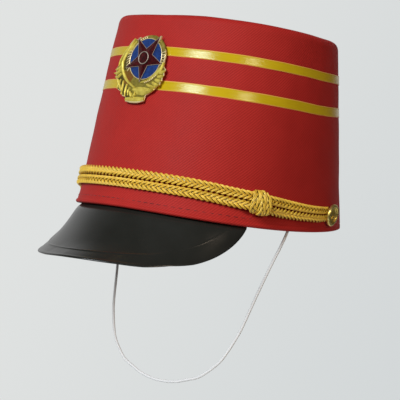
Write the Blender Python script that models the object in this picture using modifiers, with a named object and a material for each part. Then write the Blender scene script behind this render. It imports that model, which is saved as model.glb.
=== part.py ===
"""A drum major hat: a stiff cloth crown that widens to its flat top, two satin ribbons, a moulded
black peak, a pair of braided gold cords with knots and buttons, a star badge in a wreath, and an
elastic chin strap.

Metres, +Z up. The wearer looks along -Y and the wearer's left is +X. The origin is the middle of
the opening for the head, level with the hem.
"""

import math

import bmesh
import bpy
import numpy as np
from mathutils import Matrix, Vector

# Clearance between pieces that touch
GAP = 0.0003

# Crown: half sizes of its cloth outside
BASE_HALF_DEPTH = 0.1005
BASE_HALF_WIDTH = 0.0850
TOP_HALF_DEPTH = 0.0780
TOP_HALF_WIDTH = 0.0800
CROWN_HEIGHT = 0.1360
BASE_SQUARENESS = 2.4
TOP_SQUARENESS = 2.2
TOP_TILT = math.tan(math.radians(2.46))
HEM_ARCH = 0.0028
WALL = 0.0024
SHOULDER_RADIUS = 0.0070
SHOULDER_LEDGE = 0.0010
TOP_DOME = 0.0015
CROWN_ROW_SHARES = (0.0, 0.2, 0.45, 0.7, 1.0)
SHOULDER_TURNS = (25, 50, 70, 90)
AROUND = 60

# Ribbons, by the height of their middle
RIBBON_WIDTH = 0.0070
RIBBON_THICKNESS = 0.0007
UPPER_RIBBON_HEIGHT = 0.1088
LOWER_RIBBON_HEIGHT = 0.0850

# Peak
PEAK_HALF_ANGLE = math.radians(60.6)
PEAK_LENGTH = 0.0626
PEAK_END_LENGTH = 0.0012
PEAK_THICKNESS = 0.0018
PEAK_FLANGE = 0.0120
PEAK_ROOT_DROP = 0.0007
PEAK_TAPER = 1.61
PEAK_FULLNESS = 1.47
PEAK_FORWARD = 0.62
PEAK_STATIONS = 32
PEAK_STEPS = 6
# Slope below level, at the root and at the rim: at the middle of the peak, then at its two ends
ROOT_SLOPE = (math.radians(48.5), math.radians(66.7))
RIM_SLOPE = (math.radians(18.7), math.radians(89.0))

# Cords, by the height of the middle of the pair
CORD_HALF_HEIGHT = 0.0032
CORD_HALF_THICKNESS = 0.0019
CORD_HALF_SPACING = CORD_HALF_HEIGHT + GAP / 2
CORD_FRONT_HEIGHT = 0.0203
CORD_DROOP_START = math.radians(45.0)
CORD_DROOP_END = math.radians(100.0)
CORD_DROOP_POWER = 1.5
CORD_SIDES = 8
CORD_STATIONS = 48
# Share of its full height and of its full thickness that a cord keeps under the button
CORD_END_HEIGHT_SHARE = 0.82
CORD_END_THICKNESS_SHARE = 0.55
CORD_END_TAPER = 0.0120

# Knots, by the angle of their middle from the front
KNOT_ANGLE = math.radians(64.0)
KNOT_LENGTH = 0.0200
KNOT_HEIGHT = 0.0210
KNOT_BACK_WALL = 0.0015
KNOT_FRONT_WALL = 0.0024
KNOT_SIDES = 20
KNOT_SQUARENESS = 2.6
# Share of the half length, and how full the outside is there
KNOT_OUTLINE = (
    (-1.00, 0.62),
    (-0.82, 0.84),
    (-0.45, 0.97),
    (0.00, 1.00),
    (0.45, 0.97),
    (0.82, 0.84),
    (1.00, 0.62),
)
CORD_LIFT_LENGTH = 0.0220

# Buttons, by the angle of their middle from the front
BUTTON_ANGLE = math.radians(110.5)
BUTTON_HEIGHT = 0.0130
BUTTON_RADIUS = 0.0085
BUTTON_RIM = 0.0011
BUTTON_PLATE = 0.0012
BUTTON_DOME = 0.0008
BUTTON_CHAMFER = 0.00036
SHANK_RADIUS = 0.0020
BUTTON_STEPS = 28

# Badge: the middle of its star stands a little above the middle between the ribbons
BADGE_RISE = 0.0057
BADGE_HEIGHT = (UPPER_RIBBON_HEIGHT + LOWER_RIBBON_HEIGHT) / 2 + BADGE_RISE
BADGE_PLATE = 0.0010
FIELD_RADIUS = 0.0150
FIELD_THICKNESS = 0.0008
RING_WIDTH = 0.0031
STAR_RADIUS = 0.0164
STAR_WAIST = 0.0066
STAR_THICKNESS = 0.0005
STAR_RISE = 0.0011
BOSS_RADIUS = 0.0048
BOSS_WIRE = 0.0005
WREATH_HALF_WIDTH = 0.0235
WREATH_DROP = 0.0312
WREATH_RELIEF = 0.0012
WREATH_SHIFT = -0.0020
WREATH_MIDDLE_SHARE = 0.28
WREATH_LEAVES = 26
WREATH_LEAF_DEPTH = 0.05
BADGE_AROUND = 78

# Chin strap: a round elastic, sewn inside the crown at both sides. Its route from one end to the
# lowest point, which the other half mirrors.
STRAP_RADIUS = 0.0010
STRAP_SPACING = 0.0056
STRAP_HALF_ROUTE = (
    (0.0804, -0.0100, 0.0140),
    (0.0806, -0.0102, 0.0060),
    (0.0802, -0.0108, -0.0030),
    (0.0776, -0.0133, -0.0140),
    (0.0740, -0.0166, -0.0265),
    (0.0679, -0.0226, -0.0505),
    (0.0628, -0.0281, -0.0725),
    (0.0596, -0.0305, -0.0820),
    (0.0548, -0.0332, -0.0928),
    (0.0495, -0.0353, -0.1010),
    (0.0375, -0.0379, -0.1115),
    (0.0265, -0.0390, -0.1160),
    (0.0150, -0.0399, -0.1195),
    (0.0000, -0.0403, -0.1210),
)

# Colour, roughness and metallic value of each finish
FINISHES = {
    "red_twill": ((0.42, 0.018, 0.022), 0.85, 0.0),
    "gold_satin": ((0.80, 0.55, 0.05), 0.35, 0.0),
    "black_plastic": ((0.012, 0.012, 0.011), 0.32, 0.0),
    "gold_braid": ((0.66, 0.42, 0.07), 0.55, 0.2),
    "brass": ((0.72, 0.52, 0.18), 0.25, 1.0),
    "badge_gold": ((0.80, 0.58, 0.16), 0.30, 1.0),
    "blue_enamel": ((0.02, 0.07, 0.36), 0.15, 0.0),
    "red_enamel": ((0.16, 0.008, 0.015), 0.15, 0.0),
    "white_elastic": ((0.82, 0.82, 0.80), 0.70, 0.0),
}

FRONT = -math.pi / 2


def between(start, end, share):
    """The value that lies this share of the way from start to end."""
    return start + (end - start) * share


def superellipse(turn, power):
    """Distance from the middle to a superellipse of half sizes 1, at a turn."""
    return (np.abs(np.cos(turn)) ** power + np.abs(np.sin(turn)) ** power) ** (-1 / power)


def crown_point(angle, height, out=0.0, inset=0.0):
    """Points on the crown's outside, moved out or in by a distance. Each section is a
    superellipse, whose half sizes and squareness run evenly from hem to top. The hem arches up at
    the front and back, and the top tilts up at the front."""
    angle, height = np.broadcast_arrays(np.asarray(angle, float), np.asarray(height, float))
    share = height / CROWN_HEIGHT
    half_depth = between(BASE_HALF_DEPTH, TOP_HALF_DEPTH, share) + out - inset
    half_width = between(BASE_HALF_WIDTH, TOP_HALF_WIDTH, share) + out - inset
    power = between(BASE_SQUARENESS, TOP_SQUARENESS, share)
    reach = superellipse(angle, power)
    x = half_width * np.cos(angle) * reach
    y = half_depth * np.sin(angle) * reach
    z = height - TOP_TILT * share * y - HEM_ARCH * (1 - share) * np.cos(2 * angle)
    return np.stack([x, y, z], axis=-1)


def crown_frame(angle, height):
    """A point on the crown with the directions round it, up it and out of it there."""
    step = 1e-4
    here = crown_point(angle, height)
    round_it = crown_point(angle + step, height) - crown_point(angle - step, height)
    up_it = crown_point(angle, height + step) - crown_point(angle, height - step)
    round_it = Vector(round_it).normalized()
    up_it = Vector(up_it).normalized()
    out_of_it = round_it.cross(up_it).normalized()
    return Vector(here), round_it, out_of_it.cross(round_it), out_of_it


def angle_for(length, angle):
    """The turn round the crown's hem that a length of cord makes near an angle."""
    step = 1e-3
    chord = crown_point(angle + step, 0.0) - crown_point(angle - step, 0.0)
    return length * 2 * step / float(np.linalg.norm(chord))


def finish(name):
    """The material of one finish, made once and shared."""
    material = bpy.data.materials.get(name)
    if material is None:
        colour, roughness, metallic = FINISHES[name]
        material = bpy.data.materials.new(name)
        material.use_nodes = True
        shader = material.node_tree.nodes["Principled BSDF"]
        shader.inputs["Base Color"].default_value = (*colour, 1.0)
        shader.inputs["Roughness"].default_value = roughness
        shader.inputs["Metallic"].default_value = metallic
    return material


def add_object(name, data, finish_name, collection, sharp=40.0):
    """Puts a mesh or curve in the collection as one sub-part, shaded smooth."""
    thing = bpy.data.objects.new(name, data)
    data.materials.append(finish(finish_name))
    collection.objects.link(thing)
    if thing.type == "MESH":
        data.shade_smooth()
        data.set_sharp_from_angle(angle=math.radians(sharp))
    return thing


def grid_mesh(name, points, closed, top_pole=None, bottom_pole=None):
    """A mesh of quads on rows of points. Rows run upwards and columns anticlockwise, so faces point
    out. A closed grid joins its last column to its first, and a pole closes an end with a fan."""
    rows, columns = points.shape[:2]
    vertices = [tuple(point) for point in points.reshape(-1, 3)]
    faces = []
    last = columns if closed else columns - 1
    for row in range(rows - 1):
        for column in range(last):
            after = (column + 1) % columns
            low, high = row * columns, (row + 1) * columns
            faces.append((low + column, low + after, high + after, high + column))
    if top_pole is not None:
        vertices.append(tuple(top_pole))
        start = (rows - 1) * columns
        for column in range(columns):
            faces.append((start + column, start + (column + 1) % columns, len(vertices) - 1))
    if bottom_pole is not None:
        vertices.append(tuple(bottom_pole))
        for column in range(columns):
            faces.append(((column + 1) % columns, column, len(vertices) - 1))
    mesh = bpy.data.meshes.new(name)
    mesh.from_pydata(vertices, [], faces)
    mesh.update()
    return mesh


def add_wall(thing, thickness):
    """Gives an open surface its thickness, on the side away from its normals."""
    modifier = thing.modifiers.new("Wall", "SOLIDIFY")
    modifier.thickness = thickness
    modifier.offset = -1.0
    modifier.use_even_offset = True


def around_angles():
    """The angles of the crown's columns, once round."""
    return np.arange(AROUND) * 2 * math.pi / AROUND


def crown_side(collection):
    """The crown's wall with its rounded shoulder, up to the seam of the top panel."""
    shoulder_start = CROWN_HEIGHT - SHOULDER_RADIUS
    rows = [(shoulder_start * share, 0.0) for share in CROWN_ROW_SHARES]
    for turn in np.radians(SHOULDER_TURNS):
        height = shoulder_start + SHOULDER_RADIUS * math.sin(turn)
        rows.append((height, SHOULDER_RADIUS * (1 - math.cos(turn))))
    rows.append((CROWN_HEIGHT, SHOULDER_RADIUS + SHOULDER_LEDGE))
    angles = around_angles()
    points = np.array([crown_point(angles, height, inset=inset) for height, inset in rows])
    side = add_object("crown_side", grid_mesh("crown_side", points, True), "red_twill", collection)
    add_wall(side, WALL)


def crown_top(collection):
    """The flat round panel inside the shoulder, very slightly domed."""
    angles = around_angles()
    seam = SHOULDER_RADIUS + SHOULDER_LEDGE + GAP
    rim = crown_point(angles, CROWN_HEIGHT, inset=seam)
    centre = rim.mean(axis=0)
    rows = []
    for share in (1.0, 0.75, 0.4):
        row = centre + (rim - centre) * share
        row[:, 2] += TOP_DOME * (1 - share**2)
        rows.append(row)
    pole = centre + np.array([0.0, 0.0, TOP_DOME])
    mesh = grid_mesh("crown_top", np.array(rows), True, top_pole=pole)
    add_wall(add_object("crown_top", mesh, "red_twill", collection), WALL)


def ribbon(name, height, collection):
    """One band of ribbon, laid flat round the crown."""
    angles = around_angles()
    out = GAP + RIBBON_THICKNESS
    edges = (height - RIBBON_WIDTH / 2, height, height + RIBBON_WIDTH / 2)
    points = np.array([crown_point(angles, level, out=out) for level in edges])
    band = add_object(name, grid_mesh(name, points, True), "gold_satin", collection)
    add_wall(band, RIBBON_THICKNESS)


def peak(collection):
    """The moulded peak: a flange that stands inside the crown's wall, and a blade that runs out
    under the hem. The blade falls steeply at the root and flattens to the rim, and its ends hang
    nearly straight down. Its length follows a power of the angle from the front."""
    turn = np.linspace(-1.0, 1.0, PEAK_STATIONS + 1)
    angles = FRONT + turn * PEAK_HALF_ANGLE
    inset = WALL + GAP
    root = crown_point(angles, -PEAK_ROOT_DROP, inset=inset)
    step = 1e-3
    along = crown_point(angles + step, 0.0) - crown_point(angles - step, 0.0)
    outward = np.stack([along[:, 1], -along[:, 0]], axis=-1)
    outward /= np.linalg.norm(outward, axis=1)[:, None]
    ahead = (1 - PEAK_FORWARD) * outward + PEAK_FORWARD * np.array([0.0, -1.0])
    ahead /= np.linalg.norm(ahead, axis=1)[:, None]

    side = np.abs(turn)
    length = PEAK_LENGTH * np.clip(1 - side**PEAK_TAPER, 0.0, 1.0) ** (1 / PEAK_FULLNESS)
    length = np.maximum(length, PEAK_END_LENGTH)
    root_slope = between(ROOT_SLOPE[0], ROOT_SLOPE[1], side**2)
    rim_slope = between(RIM_SLOPE[0], RIM_SLOPE[1], side**2)

    # The blade is stepped out from the root, each step at the slope half way along it
    rows = [root]
    for index in range(PEAK_STEPS):
        slope = between(root_slope, rim_slope, (index + 0.5) / PEAK_STEPS)
        reach = length / PEAK_STEPS
        row = rows[-1].copy()
        row[:, :2] += ahead * (reach * np.cos(slope))[:, None]
        row[:, 2] -= reach * np.sin(slope)
        rows.append(row)
    flange = [crown_point(angles, PEAK_FLANGE * share, inset=inset) for share in (0.5, 1.0)]
    points = np.array(rows[::-1] + flange)
    blade = add_object("peak", grid_mesh("peak", points, False), "black_plastic", collection)
    add_wall(blade, PEAK_THICKNESS)


def pair_height(angle):
    """Height of the middle of the cord pair at an angle from the front: level over the brow, then
    easing down to the buttons."""
    share = (np.abs(angle) - CORD_DROOP_START) / (CORD_DROOP_END - CORD_DROOP_START)
    share = np.clip(share, 0.0, 1.0)
    return between(CORD_FRONT_HEIGHT, BUTTON_HEIGHT, 1 - (1 - share) ** CORD_DROOP_POWER)


def knot_lift(angle):
    """How far the cords stand further off the crown to pass through the knots."""
    reach = angle_for(CORD_LIFT_LENGTH, FRONT + KNOT_ANGLE)
    flat = angle_for(KNOT_LENGTH / 2, FRONT + KNOT_ANGLE)
    share = np.clip((np.abs(np.abs(angle) - KNOT_ANGLE) - flat) / (reach - flat), 0.0, 1.0)
    return (KNOT_BACK_WALL + GAP) * 0.5 * (1 + np.cos(math.pi * share))


def end_share(angle):
    """1 along the cords, falling to 0 at the rim of the buttons and staying 0 under them."""
    under = angle_for(BUTTON_RADIUS, FRONT + BUTTON_ANGLE)
    taper = angle_for(CORD_END_TAPER, FRONT + BUTTON_ANGLE)
    share = np.clip((BUTTON_ANGLE - under - np.abs(angle)) / taper, 0.0, 1.0)
    return share * share * (3 - 2 * share)


def cord(name, side, collection):
    """One flat braided cord from button to button, above the pair's middle for side 1 and below
    for -1. Its section is an ellipse that lies flat on the crown, and shrinks at its two ends."""
    stop = BUTTON_ANGLE - angle_for(SHANK_RADIUS + GAP, FRONT + BUTTON_ANGLE)
    angle = np.linspace(-stop, stop, CORD_STATIONS + 1)
    share = end_share(angle)
    height_share = between(CORD_END_HEIGHT_SHARE, 1.0, share)
    half_height = CORD_HALF_HEIGHT * height_share
    half_thickness = CORD_HALF_THICKNESS * between(CORD_END_THICKNESS_SHARE, 1.0, share)
    middle = pair_height(angle) + side * (half_height + GAP / 2)
    standoff = GAP + half_thickness + knot_lift(angle)
    turns = np.arange(CORD_SIDES) * 2 * math.pi / CORD_SIDES
    # Columns go round the section and rows run along the cord
    level = middle[:, None] - half_height[:, None] * np.sin(turns)
    out = standoff[:, None] + half_thickness[:, None] * np.cos(turns)
    around = FRONT + np.broadcast_to(angle[:, None], level.shape)
    points = crown_point(around, level, out=out)
    first, last = points[0].mean(axis=0), points[-1].mean(axis=0)
    mesh = grid_mesh(name, points, True, top_pole=last, bottom_pole=first)
    add_object(name, mesh, "gold_braid", collection, sharp=70.0)


def knot(name, side, collection):
    """A sleeve of wound braid round both cords. Its outside swells in the middle, and its bore is
    the pair's outline with a clearance."""
    length_angle = angle_for(KNOT_LENGTH, FRONT + side * KNOT_ANGLE)
    bore_half_height = 2 * CORD_HALF_SPACING + GAP
    bore_half_thickness = CORD_HALF_THICKNESS + GAP
    standoff = GAP + CORD_HALF_THICKNESS + KNOT_BACK_WALL + GAP
    turns = np.arange(KNOT_SIDES) * 2 * math.pi / KNOT_SIDES
    reach = superellipse(turns, KNOT_SQUARENESS)
    out_turn, up_turn = np.cos(turns) * reach, np.sin(turns) * reach
    rows = []
    for along, fullness in KNOT_OUTLINE:
        half_height = between(bore_half_height, KNOT_HEIGHT / 2, fullness)
        front_wall = KNOT_FRONT_WALL * fullness
        back_wall = KNOT_BACK_WALL * fullness
        wall = np.where(out_turn > 0, front_wall, back_wall)
        rows.append((along, half_height * up_turn, (bore_half_thickness + wall) * out_turn))
    for along in (1.0, 0.0, -1.0):
        bore_reach = np.maximum(np.abs(out_turn), np.abs(up_turn))
        up = bore_half_height * up_turn / bore_reach
        out = bore_half_thickness * out_turn / bore_reach
        rows.append((along, up, out))
    rows.append(rows[0])
    points = []
    for along, up, out in rows:
        angle = side * KNOT_ANGLE + along * length_angle / 2
        middle = pair_height(np.array(angle))
        points.append(crown_point(FRONT + angle, middle - up, out=standoff + out))
    mesh = grid_mesh(name, np.array(points), True)
    shape = bmesh.new()
    shape.from_mesh(mesh)
    bmesh.ops.remove_doubles(shape, verts=shape.verts, dist=1e-6)
    shape.to_mesh(mesh)
    shape.free()
    add_object(name, mesh, "gold_braid", collection, sharp=70.0)


def button(name, side, collection):
    """A turned button: a round plate with a raised rim and a low dome, on a shank that stands on
    the crown between the cords' ends."""
    plate_back = 2 * CORD_HALF_THICKNESS * CORD_END_THICKNESS_SHARE + 2 * GAP
    plate_front = plate_back + BUTTON_PLATE
    dish = BUTTON_RADIUS - 2 * BUTTON_RIM
    profile = [(0.0, plate_front + BUTTON_DOME)]
    for share in (0.35, 0.7):
        profile.append((dish * share, plate_front + BUTTON_DOME * (1 - share**2)))
    profile.append((dish, plate_front))
    for turn in np.radians([135, 90, 45, 0]):
        across = BUTTON_RADIUS - BUTTON_RIM + BUTTON_RIM * math.cos(turn)
        profile.append((across, plate_front + BUTTON_RIM * 0.9 * math.sin(turn)))
    profile += [
        (BUTTON_RADIUS, plate_back + BUTTON_CHAMFER),
        (BUTTON_RADIUS - BUTTON_CHAMFER, plate_back),
        (SHANK_RADIUS, plate_back),
        (SHANK_RADIUS, GAP),
        (0.0, GAP),
    ]
    mesh = bpy.data.meshes.new(name)
    vertices = [(across, 0.0, out) for across, out in profile]
    mesh.from_pydata(vertices, [(i, i + 1) for i in range(len(vertices) - 1)], [])
    thing = add_object(name, mesh, "brass", collection)
    turning = thing.modifiers.new("Turned", "SCREW")
    turning.steps = BUTTON_STEPS
    turning.render_steps = BUTTON_STEPS
    turning.use_merge_vertices = True
    turning.merge_threshold = 0.00001
    place, round_it, up_it, out_of_it = crown_frame(FRONT + side * BUTTON_ANGLE, BUTTON_HEIGHT)
    turn = Matrix((round_it, up_it, out_of_it)).transposed().to_4x4()
    thing.matrix_world = Matrix.Translation(place) @ turn


def badge_empty(collection):
    """An empty that carries the badge: on the ribbons in front, X to the wearer's left, Y up the
    crown and Z out of it."""
    place, round_it, up_it, out_of_it = crown_frame(FRONT, BADGE_HEIGHT)
    seat = place + out_of_it * (GAP + RIBBON_THICKNESS + GAP)
    carrier = bpy.data.objects.new("badge", None)
    carrier.empty_display_size = WREATH_DROP
    collection.objects.link(carrier)
    turn = Matrix((round_it, up_it, out_of_it)).transposed().to_4x4()
    carrier.matrix_world = Matrix.Translation(seat) @ turn
    return carrier


def wreath_reach(angle):
    """The badge's outline from the star's middle at an angle, 0 along +X: the plain ring at the
    top, and the wreath's two wings and foot below. The wreath is a broad oval, hung low."""
    ring = FIELD_RADIUS + RING_WIDTH
    sideways, up = np.cos(angle), np.sin(angle)
    # The wreath's oval has its middle below the star and a little to one side
    middle_up = -WREATH_DROP * WREATH_MIDDLE_SHARE
    half_up = WREATH_DROP + middle_up
    a = (sideways / WREATH_HALF_WIDTH) ** 2 + (up / half_up) ** 2
    b = -2 * (sideways * WREATH_SHIFT / WREATH_HALF_WIDTH**2 + up * middle_up / half_up**2)
    c = (WREATH_SHIFT / WREATH_HALF_WIDTH) ** 2 + (middle_up / half_up) ** 2 - 1
    oval = (-b + np.sqrt(b * b - 4 * a * c)) / (2 * a)
    leaves = 1 - WREATH_LEAF_DEPTH * (0.5 + 0.5 * np.cos(WREATH_LEAVES * angle))
    opening = np.clip((up - 0.55) / 0.35, 0.0, 1.0)
    return np.maximum(between(oval * leaves, ring, opening), ring)


def badge_wreath(carrier, collection):
    """The gold plate of the badge: a flat back, a wreath with leaf ridges, and a ring round the
    enamel field."""
    angle = np.arange(BADGE_AROUND) * 2 * math.pi / BADGE_AROUND
    edge = wreath_reach(angle)
    ring_in, ring_out = FIELD_RADIUS + GAP, FIELD_RADIUS + RING_WIDTH
    leaf = 0.5 + 0.5 * np.cos(WREATH_LEAVES * angle + math.pi)
    field_seat = BADGE_PLATE
    ring_top = field_seat + GAP + FIELD_THICKNESS
    room = np.clip((edge - ring_out) / (WREATH_HALF_WIDTH - ring_out), 0.0, 1.0)
    # Radius and height of each ring of points, from the back edge over the front to the field
    rows = [
        (edge, np.zeros_like(edge)),
        (edge, np.full_like(edge, BADGE_PLATE)),
        (between(edge, ring_out, 0.35), BADGE_PLATE + WREATH_RELIEF * room * between(0.45, 1.0, leaf)),
        (between(edge, ring_out, 0.80), BADGE_PLATE + WREATH_RELIEF * room * 0.5),
        (np.full_like(edge, between(ring_in, ring_out, 0.7)), np.full_like(edge, ring_top)),
        (np.full_like(edge, ring_in), np.full_like(edge, ring_top)),
        (np.full_like(edge, ring_in), np.full_like(edge, field_seat)),
    ]
    points = []
    for radius, rise in rows:
        points.append(np.stack([radius * np.cos(angle), radius * np.sin(angle), rise], axis=-1))
    mesh = grid_mesh("badge_wreath", np.array(points), True, (0.0, 0.0, field_seat), (0.0, 0.0, 0.0))
    thing = add_object("badge_wreath", mesh, "badge_gold", collection, sharp=35.0)
    thing.parent = carrier


def badge_field(carrier, collection):
    """The round blue enamel field inside the ring."""
    shape = bmesh.new()
    bmesh.ops.create_cone(
        shape,
        cap_ends=True,
        segments=40,
        radius1=FIELD_RADIUS,
        radius2=FIELD_RADIUS,
        depth=FIELD_THICKNESS,
    )
    mesh = bpy.data.meshes.new("badge_field")
    shape.to_mesh(mesh)
    shape.free()
    thing = add_object("badge_field", mesh, "blue_enamel", collection)
    thing.parent = carrier
    thing.location.z = BADGE_PLATE + GAP + FIELD_THICKNESS / 2


def badge_star(carrier, collection):
    """The faceted star, one point down, with a flat round top for the boss."""
    base = BADGE_PLATE + GAP + FIELD_THICKNESS + GAP
    tips = 5
    angle = -math.pi / 2 + np.arange(2 * tips) * math.pi / tips
    reach = np.where(np.arange(2 * tips) % 2 == 0, STAR_RADIUS, STAR_WAIST)
    plateau = np.full_like(reach, BOSS_RADIUS + BOSS_WIRE)
    rows = [(reach, 0.0), (reach, STAR_THICKNESS), (plateau, STAR_THICKNESS + STAR_RISE)]
    points = []
    for radius, rise in rows:
        level = np.full_like(radius, base + rise)
        points.append(np.stack([radius * np.cos(angle), radius * np.sin(angle), level], axis=-1))
    top = (0.0, 0.0, base + STAR_THICKNESS + STAR_RISE)
    mesh = grid_mesh("badge_star", np.array(points), True, top, (0.0, 0.0, base))
    thing = add_object("badge_star", mesh, "red_enamel", collection, sharp=5.0)
    thing.parent = carrier


def badge_boss(carrier, collection):
    """A plain gold ring on the middle of the star."""
    star_top = BADGE_PLATE + GAP + FIELD_THICKNESS + GAP + STAR_THICKNESS + STAR_RISE
    bpy.ops.mesh.primitive_torus_add(
        major_radius=BOSS_RADIUS,
        minor_radius=BOSS_WIRE,
        major_segments=28,
        minor_segments=8,
    )
    thing = bpy.context.object
    for holder in list(thing.users_collection):
        holder.objects.unlink(thing)
    collection.objects.link(thing)
    thing.name = "badge_boss"
    thing.data.name = "badge_boss"
    thing.data.materials.append(finish("badge_gold"))
    thing.data.shade_smooth()
    thing.parent = carrier
    thing.location = (0.0, 0.0, star_top + GAP + BOSS_WIRE)


def smooth_route(route, spacing):
    """Points a spacing apart on the curve that passes smoothly through a route's points."""
    knots = np.array(route)
    ends = np.vstack([2 * knots[0] - knots[1], knots, 2 * knots[-1] - knots[-2]])
    fine = []
    for index in range(len(knots) - 1):
        before, start, end, after = ends[index : index + 4]
        share = np.linspace(0.0, 1.0, 24, endpoint=False)[:, None]
        bend = 2 * before - 5 * start + 4 * end - after
        twist = -before + 3 * start - 3 * end + after
        fine.append(0.5 * (2 * start + (end - before) * share + bend * share**2 + twist * share**3))
    fine = np.vstack(fine + [knots[-1:]])
    run = np.concatenate([[0.0], np.cumsum(np.linalg.norm(np.diff(fine, axis=0), axis=1))])
    count = int(round(run[-1] / spacing)) + 1
    even = np.linspace(0.0, run[-1], count)
    return np.stack([np.interp(even, run, fine[:, axis]) for axis in range(3)], axis=-1)


def chin_strap(collection):
    """The elastic: one tube from its end inside the crown, under the chin and up the other side."""
    half = list(STRAP_HALF_ROUTE)
    mirrored = [(-x, y, z) for x, y, z in half[-2::-1]]
    points = smooth_route(half + mirrored, STRAP_SPACING)
    curve = bpy.data.curves.new("chin_strap", "CURVE")
    curve.dimensions = "3D"
    curve.bevel_depth = STRAP_RADIUS
    curve.bevel_resolution = 2
    curve.use_fill_caps = True
    spline = curve.splines.new("POLY")
    spline.points.add(len(points) - 1)
    for point, place in zip(spline.points, points):
        point.co = (*place, 1.0)
    add_object("chin_strap", curve, "white_elastic", collection)


def main():
    for thing in list(bpy.data.objects):
        bpy.data.objects.remove(thing)
    collection = bpy.data.collections.new("drum_major_hat")
    bpy.context.scene.collection.children.link(collection)

    crown_side(collection)
    crown_top(collection)
    ribbon("ribbon_upper", UPPER_RIBBON_HEIGHT, collection)
    ribbon("ribbon_lower", LOWER_RIBBON_HEIGHT, collection)
    peak(collection)
    cord("cord_upper", 1, collection)
    cord("cord_lower", -1, collection)
    for side_name, side in (("left", 1), ("right", -1)):
        knot(f"knot_{side_name}", side, collection)
        button(f"button_{side_name}", side, collection)
    carrier = badge_empty(collection)
    badge_wreath(carrier, collection)
    badge_field(carrier, collection)
    badge_star(carrier, collection)
    badge_boss(carrier, collection)
    chin_strap(collection)


main()
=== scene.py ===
"""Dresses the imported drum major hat: twill crown, satin ribbons, moulded peak, plaited cords with
wound knots and buttons, star badge in a wreath, and elastic chin strap, in a plain studio.

Metres, +Z up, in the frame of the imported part. The wearer looks along -Y and the wearer's left
is +X. Angles round the crown are anticlockwise from +X, seen from above.
"""

from __future__ import annotations

import logging
import math
from dataclasses import dataclass, replace
from enum import Enum, IntEnum

import bpy
import numpy as np
from mathutils import Matrix, Vector


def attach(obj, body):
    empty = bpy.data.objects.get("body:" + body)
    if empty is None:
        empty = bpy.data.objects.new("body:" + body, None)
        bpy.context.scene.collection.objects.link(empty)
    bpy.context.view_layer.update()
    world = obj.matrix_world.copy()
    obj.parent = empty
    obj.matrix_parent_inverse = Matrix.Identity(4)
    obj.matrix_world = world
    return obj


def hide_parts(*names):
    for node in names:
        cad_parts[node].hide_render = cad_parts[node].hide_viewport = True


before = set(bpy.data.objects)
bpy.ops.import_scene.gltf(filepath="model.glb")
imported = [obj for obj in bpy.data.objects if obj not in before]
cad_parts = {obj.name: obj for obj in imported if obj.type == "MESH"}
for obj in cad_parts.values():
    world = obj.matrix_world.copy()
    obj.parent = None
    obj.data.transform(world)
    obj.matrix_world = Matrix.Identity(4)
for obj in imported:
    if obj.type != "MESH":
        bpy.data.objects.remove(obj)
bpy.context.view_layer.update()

log = logging.getLogger("hat")

Number = float | np.ndarray
Numbers = tuple[float, ...]
Pair = tuple[float, float]
Triple = tuple[float, float, float]
Pairs = tuple[Pair, ...]
Socket = bpy.types.NodeSocket
Input = Socket | float | Numbers

BODY = "root"
GAP = 0.0003
FRONT = -math.pi / 2
BACK = math.pi / 2
MM = 0.001
STEP = 0.001
UP = np.array([0.0, 0.0, 1.0])


class Slot(Enum):
    """The record's material slots."""

    TWILL = "red_twill"
    SATIN = "gold_satin"
    PLASTIC = "black_plastic"
    BRAID = "gold_braid"
    BRASS = "brass"
    BADGE = "badge_gold"
    BLUE = "blue_enamel"
    RED = "red_enamel"
    ELASTIC = "white_elastic"


class Side(Enum):
    """The wearer's two sides, and the sign of X on each."""

    LEFT = 1
    RIGHT = -1


class Hand(Enum):
    """Which way the strokes along a plait's lower edge lean."""

    FORWARD = -1
    BACKWARD = 1


class Tone(IntEnum):
    """The finishes of the badge's plate, in the order of its materials."""

    GOLD = 0
    SHADED = 1
    PALE = 2
    BROWN = 3
    # Painted shade: the near-black ground in the gaps between the teeth and the leaves.
    HOLLOW_SHADE = 4


def mix(start: Number, end: Number, share: Number) -> Number:
    """The value a share of the way from start to end: start + (end - start) * share."""
    return start + (end - start) * share


def smooth(share: Number) -> Number:
    """Eases a share from 0 to 1, flat at both ends: 3 s^2 - 2 s^3 of the share held to 0..1."""
    held = np.clip(share, 0.0, 1.0)
    return held * held * (3 - 2 * held)


def swell(value: Number, low: float, high: float) -> Number:
    """A parabola, 0 at low and high and 1 half way: 4 s (1 - s) of the share s between them."""
    share = np.clip((value - low) / (high - low), 0.0, 1.0)
    return 4 * share * (1 - share)


def hill(value: Number, middle: float, width: float) -> Number:
    """A bell curve, 1 at its middle: exp(-((value - middle) / width)^2)."""
    return np.exp(-(((value - middle) / width) ** 2))


def unit(vectors: np.ndarray) -> np.ndarray:
    """Vectors along the last axis, scaled to length 1."""
    return vectors / np.maximum(np.linalg.norm(vectors, axis=-1, keepdims=True), 1e-12)


def ripple(phase: Number, waves: Pairs) -> Number:
    """A fixed uneven line: the mean of sin(rate * phase + offset) over pairs of the two."""
    return sum(np.sin(rate * phase + offset) for rate, offset in waves) / len(waves)


def once_round(count: int) -> np.ndarray:
    """Angles at even steps once round, from 0."""
    return np.linspace(0.0, 2 * math.pi, count, endpoint=False)


def run_along(points: np.ndarray) -> np.ndarray:
    """The length along a row of points up to each: the running sum of its steps."""
    return np.concatenate([[0.0], np.cumsum(np.linalg.norm(np.diff(points, axis=0), axis=1))])


@dataclass(frozen=True)
class Patch:
    """A surface as arrays: its points, its faces and each corner's place on the UV map.

    A face has four corners, and -1 stands for the fourth corner of a triangle.
    """

    points: np.ndarray
    faces: np.ndarray
    places: np.ndarray
    slots: np.ndarray

    def painted(self, slot: int) -> Patch:
        """The same patch with all its faces in one material slot."""
        return replace(self, slots=np.full(len(self.faces), int(slot)))

    def moved(self, place: np.ndarray, axes: np.ndarray) -> Patch:
        """The patch with its origin at a place and its X, Y and Z along the rows of axes."""
        return replace(self, points=self.points @ axes + place)


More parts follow.
